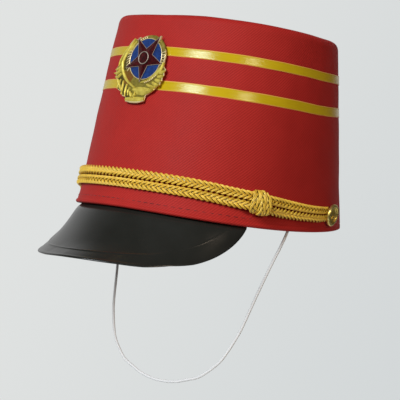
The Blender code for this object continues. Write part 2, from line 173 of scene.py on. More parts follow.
def joined(patches: list[Patch]) -> Patch:
    """Many patches as one.

    Args:
        patches: The patches.

    Returns:
        One patch that holds the faces of all.
    """
    starts = np.cumsum([0] + [len(patch.points) for patch in patches[:-1]])
    faces = [np.where(one.faces < 0, -1, one.faces + start) for one, start in zip(patches, starts)]
    return Patch(
        np.vstack([patch.points for patch in patches]),
        np.vstack(faces),
        np.vstack([patch.places for patch in patches]),
        np.concatenate([patch.slots for patch in patches]),
    )


def grid_patch(
    points: np.ndarray,
    u: np.ndarray,
    v: np.ndarray,
    round_columns: bool = False,
    round_rows: bool = False,
    ends: bool = False,
) -> Patch:
    """A sheet of four-sided faces on rows of points.

    The face between row r, column c and their next ones points along (next column) x (next
    row). With ends, a fan closes each open rim of a sheet that is round the other way.

    Args:
        points: Rows x columns x 3.
        u: First map coordinate, which broadcasts to the corners of the sheet.
        v: Second map coordinate, likewise.
        round_columns: Whether the last column joins the first.
        round_rows: Whether the last row joins the first.
        ends: Whether the two open rims are closed.

    Returns:
        The patch.
    """
    rows, columns = points.shape[:2]
    row = np.arange(rows if round_rows else rows - 1)[:, None]
    column = np.arange(columns if round_columns else columns - 1)[None, :]
    above, after = (row + 1) % rows, (column + 1) % columns
    here, there = row * columns, above * columns
    corners = (here + column, here + after, there + after, there + column)
    faces = np.stack(np.broadcast_arrays(*corners), axis=-1).reshape(-1, 4)
    shape = (rows + round_rows, columns + round_columns)
    sheet = np.stack([np.broadcast_to(u, shape), np.broadcast_to(v, shape)], axis=-1)
    square = (sheet[:-1, :-1], sheet[:-1, 1:], sheet[1:, 1:], sheet[1:, :-1])
    places = np.stack(square, axis=2).reshape(-1, 4, 2)
    patch = Patch(points.reshape(-1, 3), faces, places, np.zeros(len(faces), int))
    if not ends:
        return patch
    index = np.arange(rows * columns).reshape(rows, columns)
    if round_rows:
        rims = ((index[:, 0], False), (index[:, -1], True))
    else:
        rims = ((index[0], True), (index[-1], False))
    for rim, turned in rims:
        patch = fanned(patch, rim, turned)
    return patch


def fanned(patch: Patch, rim: np.ndarray, turned: bool) -> Patch:
    """Closes a rim with triangles to its middle.

    Args:
        patch: The patch.
        rim: The numbers of the rim's points, in order.
        turned: Whether the triangles go round the other way.

    Returns:
        The patch with the fan.
    """
    count = len(rim)
    middle = patch.points[rim].mean(axis=0)
    after = np.roll(rim, -1)
    first, second = (after, rim) if turned else (rim, after)
    hub, none = np.full(count, len(patch.points)), np.full(count, -1)
    faces = np.stack([first, second, hub, none], axis=-1)
    return Patch(
        np.vstack([patch.points, middle]),
        np.vstack([patch.faces, faces]),
        np.vstack([patch.places, np.zeros((count, 4, 2))]),
        np.concatenate([patch.slots, np.zeros(count, int)]),
    )


def tube_patch(
    path: np.ndarray,
    out: np.ndarray,
    half_out: Number,
    half_across: Number,
    sides: int,
    closed: bool = False,
) -> Patch:
    """An oval tube along a path. Its section is out * cos t + across * sin t, where across is
    square to the path and to out. The map runs round it in turns and along it in metres.

    Args:
        path: The centre line, n x 3.
        out: The direction of t = 0 at each point, n x 3 or 3.
        half_out: Half size along out.
        half_across: Half size across.
        sides: Points in a section.
        closed: Whether the path is a ring.

    Returns:
        The patch, closed at its ends.
    """
    if closed:
        ahead = unit(np.roll(path, -1, axis=0) - np.roll(path, 1, axis=0))
        run = run_along(np.vstack([path, path[:1]]))
    else:
        ahead = unit(np.gradient(path, axis=0))
        run = run_along(path)
    across = unit(np.cross(np.broadcast_to(out, path.shape), ahead))
    out = np.cross(ahead, across)
    turn = (np.arange(sides) * 2 * math.pi / sides)[:, None, None]
    half_out = np.broadcast_to(half_out, (len(path),))[None, :, None]
    half_across = np.broadcast_to(half_across, (len(path),))[None, :, None]
    points = path + np.cos(turn) * half_out * out + np.sin(turn) * half_across * across
    around = np.arange(sides + 1)[:, None] / sides
    return grid_patch(points, around, run[None, :], closed, True, not closed)


def turned_patch(
    radius: np.ndarray,
    rise: np.ndarray,
    angle: np.ndarray,
    round_rows: bool = False,
    ends: bool = True,
) -> Patch:
    """A turned shape about Z: a row's points are radius * (cos t, sin t) at its rise.

    Args:
        radius: Radius of each row, rows x columns or rows x 1.
        rise: Height of each row, likewise.
        angle: Angles of the columns.
        round_rows: Whether the section is closed.
        ends: Whether its open rims are closed.

    Returns:
        The patch.
    """
    radius, rise = np.broadcast_arrays(radius, rise, np.empty((1, len(angle))))[:2]
    points = np.stack([radius * np.cos(angle), radius * np.sin(angle), rise], axis=-1)
    u = np.linspace(0.0, 1.0, len(angle) + 1)[None, :]
    v = np.linspace(0.0, 0.02, len(radius) + round_rows)[:, None]
    return grid_patch(points, u, v, True, round_rows, ends)


def repeated(template: Patch, places: np.ndarray, axes: np.ndarray) -> Patch:
    """Copies of a patch as one, at n x 3 places and with n x 3 x 3 axes."""
    return joined([template.moved(place, turned) for place, turned in zip(places, axes)])


def make_piece(
    name: str, patch: Patch, finishes: list[Finish], sharp: float = 180.0
) -> bpy.types.Object:
    """Puts a patch into the scene as one object at the origin.

    Args:
        name: The piece's name.
        patch: Its surface.
        finishes: Its finishes, in the order of the patch's slots.
        sharp: Edges that turn more than this many degrees stay sharp.

    Returns:
        The object.
    """
    mesh = bpy.data.meshes.new(name)
    used = patch.faces >= 0
    corners = patch.faces[used]
    counts = used.sum(axis=1)
    mesh.vertices.add(len(patch.points))
    mesh.vertices.foreach_set("co", patch.points.astype(np.float32).ravel())
    mesh.loops.add(len(corners))
    mesh.loops.foreach_set("vertex_index", corners.astype(np.int32))
    mesh.polygons.add(len(counts))
    mesh.polygons.foreach_set("loop_start", (np.cumsum(counts) - counts).astype(np.int32))
    mesh.polygons.foreach_set("material_index", patch.slots.astype(np.int32))
    mesh.update(calc_edges=True)
    uv_map = mesh.uv_layers.new(name="UVMap")
    uv_map.data.foreach_set("uv", patch.places[used].astype(np.float32).ravel())
    mesh.shade_smooth()
    if sharp < 180.0:
        mesh.set_sharp_from_angle(angle=math.radians(sharp))
    for finish in finishes:
        mesh.materials.append(finish.material())
    piece = bpy.data.objects.new(name, mesh)
    bpy.context.scene.collection.objects.link(piece)
    return piece


def enter(piece: bpy.types.Object, slot: Slot, *nodes: str) -> None:
    """Puts a piece on the hat: it rides on the body and stands for its solids.

    Args:
        piece: The object.
        slot: The record's slot that its finish comes from. Not used.
        nodes: The CAD nodes that it replaces.
    """
    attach(piece, BODY)
    if nodes:
        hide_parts(*nodes)
    count, words = len(piece.data.polygons), ", ".join(nodes) or "no solid"
    log.info("%s: %d faces, for %s", piece.name, count, words)


@dataclass(frozen=True)
class CrownForm:
    """The crown's outside. Each section is a superellipse whose half sizes and squareness run
    evenly from hem to top. The hem arches up at the front and back, and the top tilts. The upper
    part rises a little towards the back, and the rim is slightly uneven."""

    base_half_depth: float = 0.1005
    base_half_width: float = 0.0850
    top_half_depth: float = 0.0780
    top_half_width: float = 0.0800
    height: float = 0.1360
    base_squareness: float = 2.4
    top_squareness: float = 2.2
    top_tilt: float = math.tan(math.radians(2.46))
    hem_arch: float = 0.0028
    wall: float = 0.0024
    shoulder: float = 0.0070
    ledge: float = 0.0010
    perimeter: float = 0.545
    side_rate: float = 1.9
    low_fullness: float = 0.0011
    low_fullness_top: float = 0.050
    high_fullness: float = 0.0003
    high_fullness_top: float = 0.095
    high_fullness_fade: float = 0.02
    back_rise: float = 0.0018
    back_rise_height: float = 0.060
    back_start: float = math.radians(95.0)
    back_range: float = math.radians(35.0)
    rim_start: float = 0.112
    rim_range: float = 0.020
    rim_degrees: Numbers = (-175, -155, -140, -126, -112, -100, -88, -76, -64, -50, -20, 0, 20, 40)
    rim_lifts: Numbers = (
        0.0, 0.9, 1.5, 1.35, 0.35, -0.15, -0.45, -0.2, 0.0, -0.3, -0.3, 0.1, 0.3, 0.0,
    )

    def point(self, angle: Number, height: Number, out: Number = 0.0) -> np.ndarray:
        """Points on the form, or a distance outside it.

        Args:
            angle: Angle round the crown.
            height: Height up its wall.
            out: Distance added to both half sizes.

        Returns:
            Array of points, with the shape that the arguments broadcast to.
        """
        angle, height, out = np.broadcast_arrays(np.asarray(angle, float), height, out)
        out = out + self.fullness(angle, height)
        share = height / self.height
        half_depth = mix(self.base_half_depth, self.top_half_depth, share) + out
        half_width = mix(self.base_half_width, self.top_half_width, share) + out
        power = mix(self.base_squareness, self.top_squareness, share)
        across, along = np.cos(angle), np.sin(angle)
        reach = (np.abs(across) ** power + np.abs(along) ** power) ** (-1 / power)
        x = half_width * across * reach
        y = half_depth * along * reach
        z = height - self.top_tilt * share * y - self.hem_arch * (1 - share) * np.cos(2 * angle)
        return np.stack([x, y, z + self.lift(angle, height)], axis=-1)

    def lift(self, angle: Number, height: Number) -> Number:
        """How far the cloth is raised.

        Args:
            angle: Angle round the crown.
            height: Height up its wall.

        Returns:
            The rise behind the ears, which eases in up the wall, and the uneven rim's, from the
            table in millimetres.
        """
        behind = smooth((np.abs(self.from_front(angle)) - self.back_start) / self.back_range)
        degrees = (np.degrees(angle) + 180.0) % 360.0 - 180.0
        uneven = np.interp(degrees, self.rim_degrees, self.rim_lifts, period=360.0) * MM
        rise = self.back_rise * behind * smooth(height / self.back_rise_height)
        return rise + uneven * smooth((height - self.rim_start) / self.rim_range)

    @staticmethod
    def from_front(angle: Number) -> Number:
        """The angle from the front, between half a turn either way."""
        return (angle - FRONT + math.pi) % (2 * math.pi) - math.pi

    def at_sides(self, angle: Number) -> Number:
        """0 over the brow, easing with the sine of the angle to 1 at the sides and behind."""
        return smooth(0.5 + self.side_rate * np.sin(angle))

    def fullness(self, angle: Number, height: Number) -> Number:
        """How far the cloth stands out on the sides and back, where the head fills it.

        Args:
            angle: Angle round the crown.
            height: Height up its wall.

        Returns:
            The distance: one part fades from the hem, the other below the ribbons.
        """
        low = self.low_fullness * smooth(1 - height / self.low_fullness_top)
        high = smooth((self.high_fullness_top - height) / self.high_fullness_fade)
        return self.at_sides(angle) * (low + self.high_fullness * high)

    def axes(self, angle: Number, height: Number) -> tuple[np.ndarray, np.ndarray, np.ndarray]:
        """Directions round the crown, up it and out of it.

        Args:
            angle: Angle round the crown.
            height: Height up its wall.

        Returns:
            Three arrays of unit vectors: round, up and out.
        """
        step = STEP / 10
        height = np.asarray(height, float)
        round_it = unit(self.point(angle + step, height) - self.point(angle - step, height))
        up_it = unit(self.point(angle, height + step) - self.point(angle, height - step))
        out_of_it = unit(np.cross(round_it, up_it))
        return round_it, np.cross(out_of_it, round_it), out_of_it

    def turn_for(self, length: float, angle: float) -> float:
        """The turn round the hem, in radians, that a length along it makes near an angle."""
        chord = self.point(angle + STEP, 0.0) - self.point(angle - STEP, 0.0)
        return length * 2 * STEP / float(np.linalg.norm(chord))


@dataclass(frozen=True)
class Track:
    """A line in space with the directions across and out of it at each point, evenly spaced."""

    run: np.ndarray
    place: np.ndarray
    across: np.ndarray
    out: np.ndarray

    @classmethod
    def along(cls, points: np.ndarray, out: np.ndarray, spacing: float = 0.0004) -> Track:
        """The track through a fine row of points.

        Args:
            points: n x 3 points close together.
            out: n x 3 directions out of the line.
            spacing: Distance between the track's own points.

        Returns:
            The track. Across is out x ahead.
        """
        run = run_along(points)
        even = np.linspace(0.0, run[-1], int(round(run[-1] / spacing)) + 1)
        place = cls.blend(even, run, points)
        ahead = unit(np.gradient(place, axis=0))
        across = unit(np.cross(cls.blend(even, run, out), ahead))
        return cls(even, place, across, np.cross(ahead, across))

    @staticmethod
    def blend(where: np.ndarray, run: np.ndarray, values: np.ndarray) -> np.ndarray:
        """The vectors at the runs of where, between the n x 3 values known at each run."""
        return np.stack([np.interp(where, run, values[:, axis]) for axis in range(3)], axis=-1)

    def at(self, run: np.ndarray, across: Number, out: Number) -> np.ndarray:
        """Points beside the line.

        Args:
            run: Length along it.
            across: Distance across it.
            out: Distance out of it.

        Returns:
            n x 3 points.
        """
        side = self.blend(run, self.run, self.across) * np.asarray(across)[..., None]
        front = self.blend(run, self.run, self.out) * np.asarray(out)[..., None]
        return self.blend(run, self.run, self.place) + side + front

    def facing(self, run: np.ndarray) -> np.ndarray:
        """The direction out of the line at each run."""
        return self.blend(run, self.run, self.out)


@dataclass(frozen=True)
class Plait:
    """A flat plait of an odd number n of strands, each of a few yarns side by side.

    At a length s, strand k has the phase p = 2 pi (s / (n pitch) + k / n). It swings across by
    swing * mix(sin p, zigzag p) with the share zigzag, where zigzag p is 2 asin(sin p) / pi, and
    in and out by depth * sin(2 p), so that it passes over the others from an edge to the middle
    and under them from there to the other edge, or the other way about.
    """

    strands: int = 5
    pitch: float = 0.0038
    swing: float = 0.00260
    zigzag: float = 0.65
    depth: float = 0.00115
    yarn_spacing: float = 0.00068
    yarn_half_across: float = 0.00041
    yarn_half_out: float = 0.00060
    core_half_across: float = 0.0020
    core_half_out: float = 0.00045
    yarns: int = 2
    sides: int = 8
    spacing: float = 0.00042

    def on(self, track: Track, hand: Hand, widths: Number = 1.0, depths: Number = 1.0) -> Patch:
        """The plait's yarns along a track.

        Args:
            track: The plait's centre line.
            hand: Which way its strokes lean.
            widths: Share of its full width along the track's points.
            depths: Share of its full thickness, likewise.

        Returns:
            A tube for each yarn, and the core between them, whose dark colour is painted shade.
        """
        length = np.linspace(0.0, track.run[-1], int(round(track.run[-1] / self.spacing)) + 1)
        width, thick = (
            np.interp(length, track.run, np.broadcast_to(share, track.run.shape))
            for share in (widths, depths)
        )
        rate = 2 * math.pi / (self.strands * self.pitch)
        patches = []
        for strand in range(self.strands):
            phase = rate * length + strand * 2 * math.pi / self.strands
            zigzag = np.arcsin(np.sin(phase)) * 2 / math.pi
            side = self.swing * mix(np.sin(phase), zigzag, self.zigzag)
            level = -hand.value * self.depth * np.sin(2 * phase) * thick
            slope = np.arctan(np.gradient(side, length))
            for yarn in range(self.yarns):
                beside = (yarn - (self.yarns - 1) / 2) * self.yarn_spacing
                where = length - beside * np.sin(slope)
                path = track.at(where, (side + beside * np.cos(slope)) * width, level)
                halves = self.yarn_half_out * thick, self.yarn_half_across * width
                patches.append(tube_patch(path, track.facing(where), *halves, self.sides))
        # The core is a near-black tube under the yarns: painted shade in the gaps between them.
        middle = track.at(length, 0.0, 0.0)
        halves = self.core_half_out * thick, self.core_half_across * width
        core = tube_patch(middle, track.facing(length), *halves, self.sides)
        return joined([*patches, core.painted(1)])


class Bench:
    """Builds the nodes of a material, or of the room, with short calls."""

    def __init__(self, tree: bpy.types.NodeTree) -> None:
        """Keeps the tree that the nodes go into."""
        self.tree = tree

    def feed(self, socket: Socket, value: Input) -> None:
        """Links a socket to another, or sets its value.

        Args:
            socket: An input.
            value: The output that feeds it, or its value.
        """
        if isinstance(value, Socket):
            self.tree.links.new(value, socket)
        else:
            socket.default_value = value

    def node(self, kind: str, inputs: dict | None = None, **settings: str) -> bpy.types.Node:
        """Adds a node.

        Args:
            kind: Its type, without the words ShaderNode.
            inputs: Values or sockets for its inputs, by name or number.
            settings: Its own properties.

        Returns:
            The node.
        """
        made = self.tree.nodes.new("ShaderNode" + kind)
        for key, value in settings.items():
            setattr(made, key, value)
        for key, value in (inputs or {}).items():
            self.feed(made.inputs[key], value)
        return made

    def set(self, **values: Input) -> None:
        """Sets the shader's sockets; an underscore in a name stands for a space."""
        for key, value in values.items():
            self.feed(self.tree.nodes["Principled BSDF"].inputs[key.replace("_", " ")], value)

    def uv(self) -> Socket:
        """The piece's own map."""
        return self.node("UVMap", uv_map="UVMap").outputs["UV"]

    def place(self) -> Socket:
        """Place on the object, in metres."""
        return self.node("TexCoord").outputs["Object"]

    def scaled(self, vector: Socket, scale: Triple, turn: float = 0.0) -> Socket:
        """A vector turned about Z and then scaled.

        Args:
            vector: The vector.
            scale: Its scale along each axis.
            turn: The angle.

        Returns:
            The socket.
        """
        inputs = {"Vector": vector, "Angle": turn}
        turned = self.node("VectorRotate", inputs, rotation_type="Z_AXIS")
        inputs = {0: turned.outputs["Vector"], 1: scale}
        return self.node("VectorMath", inputs, operation="MULTIPLY").outputs["Vector"]

    def noise(
        self,
        place: Socket,
        scale: float,
        detail: float = 2.0,
        rough: float = 0.5,
        twist: float = 0.0,
    ) -> Socket:
        """Noise from 0 to 1.

        Args:
            place: Where it is read.
            scale: Its waves in a metre.
            detail: Octaves.
            rough: Share of each finer octave.
            twist: Distortion.

        Returns:
            The socket.
        """
        inputs = {"Vector": place, "Scale": scale, "Detail": detail, "Roughness": rough}
        made = self.node("TexNoise", {**inputs, "Distortion": twist})
        return made.outputs["Factor" if bpy.app.version >= (5, 0, 0) else "Fac"]

    def math(self, operation: str, first: Input, second: Input = 0.0, third: Input = 0.0) -> Socket:
        """One step of arithmetic, by Blender's word for it."""
        inputs = {0: first, 1: second, 2: third}
        return self.node("Math", inputs, operation=operation).outputs["Value"]

    def times(self, value: Input, factor: Input, base: Input = 0.0) -> Socket:
        """value * factor + base."""
        return self.math("MULTIPLY_ADD", value, factor, base)

    def span(
        self, value: Input, low: float, high: float, to: Pair = (0.0, 1.0), **settings: str
    ) -> Socket:
        """Maps a span of values to another, held at its ends.

        Args:
            value: The socket.
            low: Start of the old span.
            high: End of the old span.
            to: Start and end of the new span.
            settings: The node's own properties.

        Returns:
            The socket.
        """
        inputs = {"Value": value, "From Min": low, "From Max": high}
        inputs |= {"To Min": to[0], "To Max": to[1]}
        return self.node("MapRange", inputs, **settings).outputs["Result"]

    def colours(self, share: Input, first: Socket | Triple, second: Socket | Triple) -> Socket:
        """The colour a share of the way from the first to the second."""
        ends = (end if isinstance(end, Socket) else (*end, 1.0) for end in (first, second))
        return self.node("Mix", dict(zip((0, 6, 7), (share, *ends))), data_type="RGBA").outputs[2]

    def parts(self, vector: Socket) -> tuple[Socket, Socket]:
        """The X and Y of a vector, as two sockets."""
        made = self.node("SeparateXYZ", {0: vector})
        return made.outputs["X"], made.outputs["Y"]

    def sine(self, length: Socket, period: float, offset: Input = 0.0) -> Socket:
        """A wave from 0 to 1 along a length: (1 + sin(2 pi length / period + offset)) / 2."""
        phase = self.times(length, 2 * math.pi / period, offset)
        return self.times(self.math("SINE", phase), 0.5, 0.5)

    def bump(self, height: Socket, distance: float, strength: float = 1.0) -> Socket:
        """The normal over a height from 0 to 1 times a distance, at a share of its effect."""
        inputs = {"Height": height, "Distance": distance, "Strength": strength}
        return self.node("Bump", inputs).outputs["Normal"]


@dataclass(frozen=True)
class Finish:
    """A finish: two tones that its pattern mixes, a span of roughness and the pattern's relief.

    The relief is the height of its bumps in metres. Each kind of finish sets the shader in lay,
    where a tone is a sum of patterns from 0 to 1, each times its weight.
    """

    name: str
    deep: Triple
    lit: Triple
    rough: Pair
    relief: float

    def lay(self) -> None:
        """Sets the shader's sockets."""
        raise NotImplementedError

    @property
    def bench(self) -> Bench:
        """The bench for the material's nodes."""
        return Bench(bpy.data.materials[self.name].node_tree)

    def toned(self, tone: Socket, low: float, high: float) -> Socket:
        """The deep colour where the tone is low, easing to the lit one where it is high."""
        return self.bench.colours(self.bench.span(tone, low, high), self.deep, self.lit)

    def material(self) -> bpy.types.Material:
        """The finished material, made at its first use."""
        made = bpy.data.materials.get(self.name)
        if made is None:
            made = bpy.data.materials.new(self.name)
            made.use_nodes = True
            self.lay()
        return made


@dataclass(frozen=True)
class Twill(Finish):
    """Matt woven cloth with fine diagonal ribs, on a map in metres."""

    rib: float = 0.00150
    thread: float = 0.00050

    def lay(self) -> None:
        """Ribs at 45 degrees, crossed by threads, with both wandering and flecked by noise."""
        bench = self.bench
        across, up = bench.parts(bench.uv())
        place = bench.place()
        slub = bench.noise(place, 420.0, 3.0, 0.6)
        cloud = bench.noise(place, 34.0, 3.0, 0.55)
        fleck = bench.noise(place, 1500.0, 2.0, 0.6)
        wander = bench.times(slub, 3.0)
        ribs = bench.sine(bench.math("SUBTRACT", across, up), self.rib * math.sqrt(2), wander)
        threads = bench.sine(bench.math("ADD", across, up), self.thread * math.sqrt(2), wander)
        weave = bench.times(threads, 0.25, bench.times(ribs, 0.75))
        tone = bench.times(cloud, 0.34, bench.times(weave, 0.42, bench.times(fleck, 0.30)))
        bench.set(Base_Color=self.toned(tone, 0.22, 0.82), Specular_IOR_Level=0.15)
        bench.set(Roughness=bench.span(cloud, 0.3, 0.7, self.rough))
        bench.set(Normal=bench.bump(bench.times(fleck, 0.35, weave), self.relief, 0.65))


@dataclass(frozen=True)
class Satin(Finish):
    """Satin ribbon: threads along it, a soft gloss and firmer woven edges."""

    edge: Triple = (0.72, 0.350, 0.070)
    edge_ribs: float = 0.0006
    half_width: float = 0.0035
    selvedge: float = 0.0007
    edge_blur: float = 0.0003

    def lay(self) -> None:
        """Long streaks under a cloud. The map's v is the height over the ribbon's middle."""
        bench = self.bench
        uv = bench.uv()
        run, up = bench.parts(uv)
        streaks = bench.noise(bench.scaled(uv, (70.0, 3400.0, 1.0)), 1.0, 3.0, 0.6)
        cloud = bench.noise(bench.place(), 55.0)
        tone = bench.times(streaks, 0.6, bench.times(cloud, 0.4))
        inside = self.half_width - self.selvedge
        rim = bench.span(bench.math("ABSOLUTE", up), inside, inside + self.edge_blur, (0.0, 0.85))
        bench.set(Base_Color=bench.colours(rim, self.toned(tone, 0.3, 0.7), self.edge))
        bench.set(Roughness=bench.times(rim, 0.25, bench.span(streaks, 0.3, 0.7, self.rough)))
        bench.set(Specular_IOR_Level=0.41, Specular_Tint=(0.80, 1.0, 0.84, 1.0))
        ribs = bench.times(bench.sine(run, self.edge_ribs), rim)
        bench.set(Normal=bench.bump(bench.times(ribs, 0.8, streaks), self.relief, 0.5))


@dataclass(frozen=True)
class Moulded(Finish):
    """Black moulded plastic, half gloss, with a very fine grain and light wear."""

    def lay(self) -> None:
        """A cloud of dust, over soft waves with a fine grain."""
        bench = self.bench
        place = bench.place()
        cloud = bench.noise(place, 26.0, 3.0, 0.55)
        grain, waves = bench.noise(place, 2600.0, 1.0), bench.noise(place, 240.0)
        bench.set(Base_Color=self.toned(cloud, 0.35, 0.7), Specular_IOR_Level=0.5)
        bench.set(Roughness=bench.span(cloud, 0.3, 0.7, self.rough))
        bench.set(Normal=bench.bump(bench.times(grain, 0.12, waves), self.relief, 0.30))


@dataclass(frozen=True)
class Yarn(Finish):
    """Shiny twisted yarn. The map's u is the turn round the yarn and v its length."""

    rough: Pair = (0.32, 0.42)
    relief: float = 0.00008
    pitch: float = 0.0022
    plies: int = 3

    def lay(self) -> None:
        """Plies as a slanted wave, with fibres as fine noise."""
        bench = self.bench
        uv = bench.uv()
        around, along = bench.parts(uv)
        plies = bench.sine(along, self.pitch, bench.times(around, 2 * math.pi * self.plies))
        fibres = bench.noise(bench.scaled(uv, (14.0, 2600.0, 1.0), 0.3), 1.0, 2.0, 0.6)
        cloud = bench.noise(bench.place(), 300.0)
        tone = bench.times(cloud, 0.55, bench.times(plies, 0.30, bench.times(fibres, 0.30)))
        bench.set(Base_Color=self.toned(tone, 0.30, 0.85))
        bench.set(Roughness=bench.span(fibres, 0.3, 0.7, self.rough))
        bench.set(Specular_IOR_Level=1.0, Specular_Tint=(0.95, 1.0, 0.60, 1.0))
        bench.set(Normal=bench.bump(bench.times(fibres, 0.3, plies), self.relief, 0.6))


@dataclass(frozen=True)
class Metal(Finish):
    """Plated metal: bright, with soft deeper stains and a fine cast or polished skin."""

    rough: Pair = (0.42, 0.56)
    relief: float = 0.00006
    skin_scale: float = 1500.0
    metallic: float = 0.45

    def lay(self) -> None:
        """Stains over the bright metal, rougher where it is stained."""
        bench = self.bench
        place = bench.place()
        stain = bench.noise(place, 260.0, 3.0, 0.6)
        skin = bench.noise(place, self.skin_scale, 3.0, 0.6)
        bench.set(Base_Color=bench.colours(bench.span(stain, 0.42, 0.72), self.lit, self.deep))
        bench.set(Roughness=bench.span(stain, 0.3, 0.75, self.rough), Metallic=self.metallic)
        bench.set(Normal=bench.bump(skin, self.relief, 0.6))


@dataclass(frozen=True)
class Enamel(Finish):
    """Glossy enamel over a lightly worked ground."""

    rough: Pair = (0.30, 0.30)
    relief: float = 0.00003
    mottle: float = 520.0
    coat: float = 0.15
    coat_rough: float = 0.08
    gloss: float = 0.20

    def lay(self) -> None:
        """A mottled ground under a clear coat with slight ripples."""
        bench = self.bench
        place = bench.place()
        mottle = bench.noise(place, self.mottle, 3.0, 0.6)
        bench.set(Base_Color=self.toned(mottle, 0.35, 0.70), Roughness=self.rough[0])
        bench.set(Coat_Weight=self.coat, Coat_Roughness=self.coat_rough)
        ripples = bench.noise(place, 420.0, 1.0, 0.4)
        bench.set(Normal=bench.bump(ripples, self.relief, 0.4), Specular_IOR_Level=self.gloss)


@dataclass(frozen=True)
class ElasticBraid(Finish):
    """Round braided elastic: two sets of threads that cross. The map is as on a yarn."""

    rough: Pair = (0.75, 0.75)
    relief: float = 0.00012
    pitch: float = 0.0016
    plies: int = 3

    def lay(self) -> None:
        """The product of two slanted waves, one each way, with fuzz."""
        bench = self.bench
        around, along = bench.parts(bench.uv())
        turn = bench.times(around, 2 * math.pi * self.plies)
        one_way = bench.sine(along, self.pitch, turn)
        other_way = bench.sine(along, self.pitch, bench.times(turn, -1.0))
        fuzz = bench.noise(bench.place(), 1800.0, 2.0, 0.6)
        tone = bench.times(fuzz, 0.4, bench.times(one_way, other_way))
        bench.set(Base_Color=self.toned(tone, 0.1, 0.9), Roughness=self.rough[0])
        bench.set(Sheen_Weight=0.2, Normal=bench.bump(tone, self.relief, 0.7))


@dataclass(frozen=True)
class Board(Finish):
    """The stiffened inside of the crown: a plain grey fibre board."""

    rough: Pair = (0.9, 0.9)
    relief: float = 0.0001

    def lay(self) -> None:
        """Short pressed fibres under a cloud."""
        bench = self.bench
        slanted = bench.scaled(bench.uv(), (260.0, 1400.0, 1.0), 0.5)
        fibres = bench.noise(slanted, 1.0, 3.0, 0.65, 1.2)
        cloud = bench.noise(bench.place(), 60.0, 3.0)
        tone = bench.times(fibres, 0.6, bench.times(cloud, 0.4))
        bench.set(Base_Color=self.toned(tone, 0.3, 0.7), Roughness=self.rough[0])
        bench.set(Specular_IOR_Level=0.2, Normal=bench.bump(fibres, self.relief, 0.5))


@dataclass(frozen=True)
class Thread(Finish):
    """Plain sewing thread, twisted."""

    rough: Pair = (0.6, 0.6)
    relief: float = 0.00008
    pitch: float = 0.0007

    def lay(self) -> None:
        """Two plies as a slanted wave."""
        bench = self.bench
        around, along = bench.parts(bench.uv())
        twist = bench.sine(along, self.pitch, bench.times(around, 4 * math.pi))
        bench.set(Base_Color=bench.colours(twist, self.deep, self.lit), Roughness=self.rough[0])
        bench.set(Sheen_Weight=0.1, Normal=bench.bump(twist, self.relief, 0.6))


@dataclass(frozen=True)
class StudioPaper(Finish):
    """The plain pale paper of the studio floor."""

    name: str = "studio_paper"
    deep: Triple = (0.86, 0.88, 0.87)
    lit: Triple = (0.88, 0.90, 0.89)
    rough: Pair = (0.95, 0.95)
    relief: float = 0.0

    def lay(self) -> None:
        """A faint cloud, without relief or gloss."""
        bench = self.bench
        cloud = bench.noise(bench.place(), 1.5)
        bench.set(Base_Color=bench.colours(cloud, self.deep, self.lit), Roughness=self.rough[0])
        bench.set(Specular_IOR_Level=0.0)


@dataclass(frozen=True)
class Finishes:
    """Every finish of the hat."""

    twill: Finish = Twill(
        "red_twill_cloth", (0.292, 0.0120, 0.0092), (0.490, 0.0264, 0.0208), (0.58, 0.66), 0.00018
    )
    satin: Finish = Satin(
        "gold_satin_ribbon", (0.50, 0.345, 0.005), (0.62, 0.440, 0.008), (0.175, 0.24), 0.00007
    )
    plastic: Finish = Moulded(
        "black_moulded_plastic", (0.0145, 0.0150, 0.0122), (0.0200, 0.0206, 0.0178), (0.18, 0.23),
        0.00003,
    )
    yarn: Finish = Yarn("gold_braid_yarn", (0.63, 0.360, 0.022), (1.0, 0.700, 0.100))
    # Painted shade: the near-black core that shows in the gaps between the yarns.
    shade_core_yarn: Finish = Yarn("gold_braid_painted_shade_core", (0.060, 0.030, 0.002), (0.130, 0.070, 0.004))
    board: Finish = Board("grey_fibre_board", (0.30, 0.29, 0.27), (0.44, 0.43, 0.40))
    elastic: Finish = ElasticBraid(
        "white_elastic_braid", (0.66, 0.66, 0.65), (0.86, 0.86, 0.85)
    )
    red_thread: Finish = Thread("red_sewing_thread", (0.09, 0.004, 0.006), (0.17, 0.009, 0.011))
    brass: Finish = Metal(
        "pressed_brass", (0.46, 0.35, 0.06), (0.86, 0.68, 0.22), (0.24, 0.38), 0.00001, 900.0, 0.9
    )
    badge: Finish = Metal("badge_gold_plate", (0.46, 0.35, 0.04), (0.75, 0.625, 0.105))
    # Painted shade: the darker olive ground round the raised leaves and at the ring's upper right.
    shaded: Finish = Metal("badge_shaded_ground", (0.13, 0.095, 0.010), (0.28, 0.225, 0.025))
    pale: Finish = Metal(
        "badge_pale_gold", (0.66, 0.52, 0.22), (0.88, 0.74, 0.40), (0.34, 0.46), 0.00003
    )
    brown: Finish = Metal(
        "badge_brown_ground", (0.22, 0.175, 0.012), (0.25, 0.085, 0.014),
        relief=0.00008, skin_scale=700.0, metallic=0.6,
    )
    # Painted shade in the gaps between the ring's teeth and the lower leaves.
    hollow_shade: Finish = Metal(
        "badge_painted_shade_hollow", (0.050, 0.036, 0.004), (0.100, 0.078, 0.008), (0.5, 0.6), metallic=0.5
    )
    wire: Finish = Metal(
        "badge_edge_wire", (0.28, 0.23, 0.19), (0.52, 0.44, 0.37), (0.36, 0.48), 0.00003,
        metallic=0.6,
    )
    blue: Finish = Enamel("blue_badge_enamel", (0.005, 0.022, 0.112), (0.009, 0.048, 0.210))
    red: Finish = Enamel(
        "red_badge_enamel", (0.016, 0.0006, 0.0014), (0.080, 0.0026, 0.0038),
        mottle=620.0, coat=0.10, gloss=0.15,
    )

    @property
    def plaited(self) -> list[Finish]:
        """The finishes of a plait: its yarns and the core between them, dark with painted shade."""
        return [self.yarn, self.shade_core_yarn]

    @property
    def plated(self) -> list[Finish]:
        """The finishes of the badge's plate, in the order of the tones."""
        return [self.badge, self.shaded, self.pale, self.brown, self.hollow_shade]


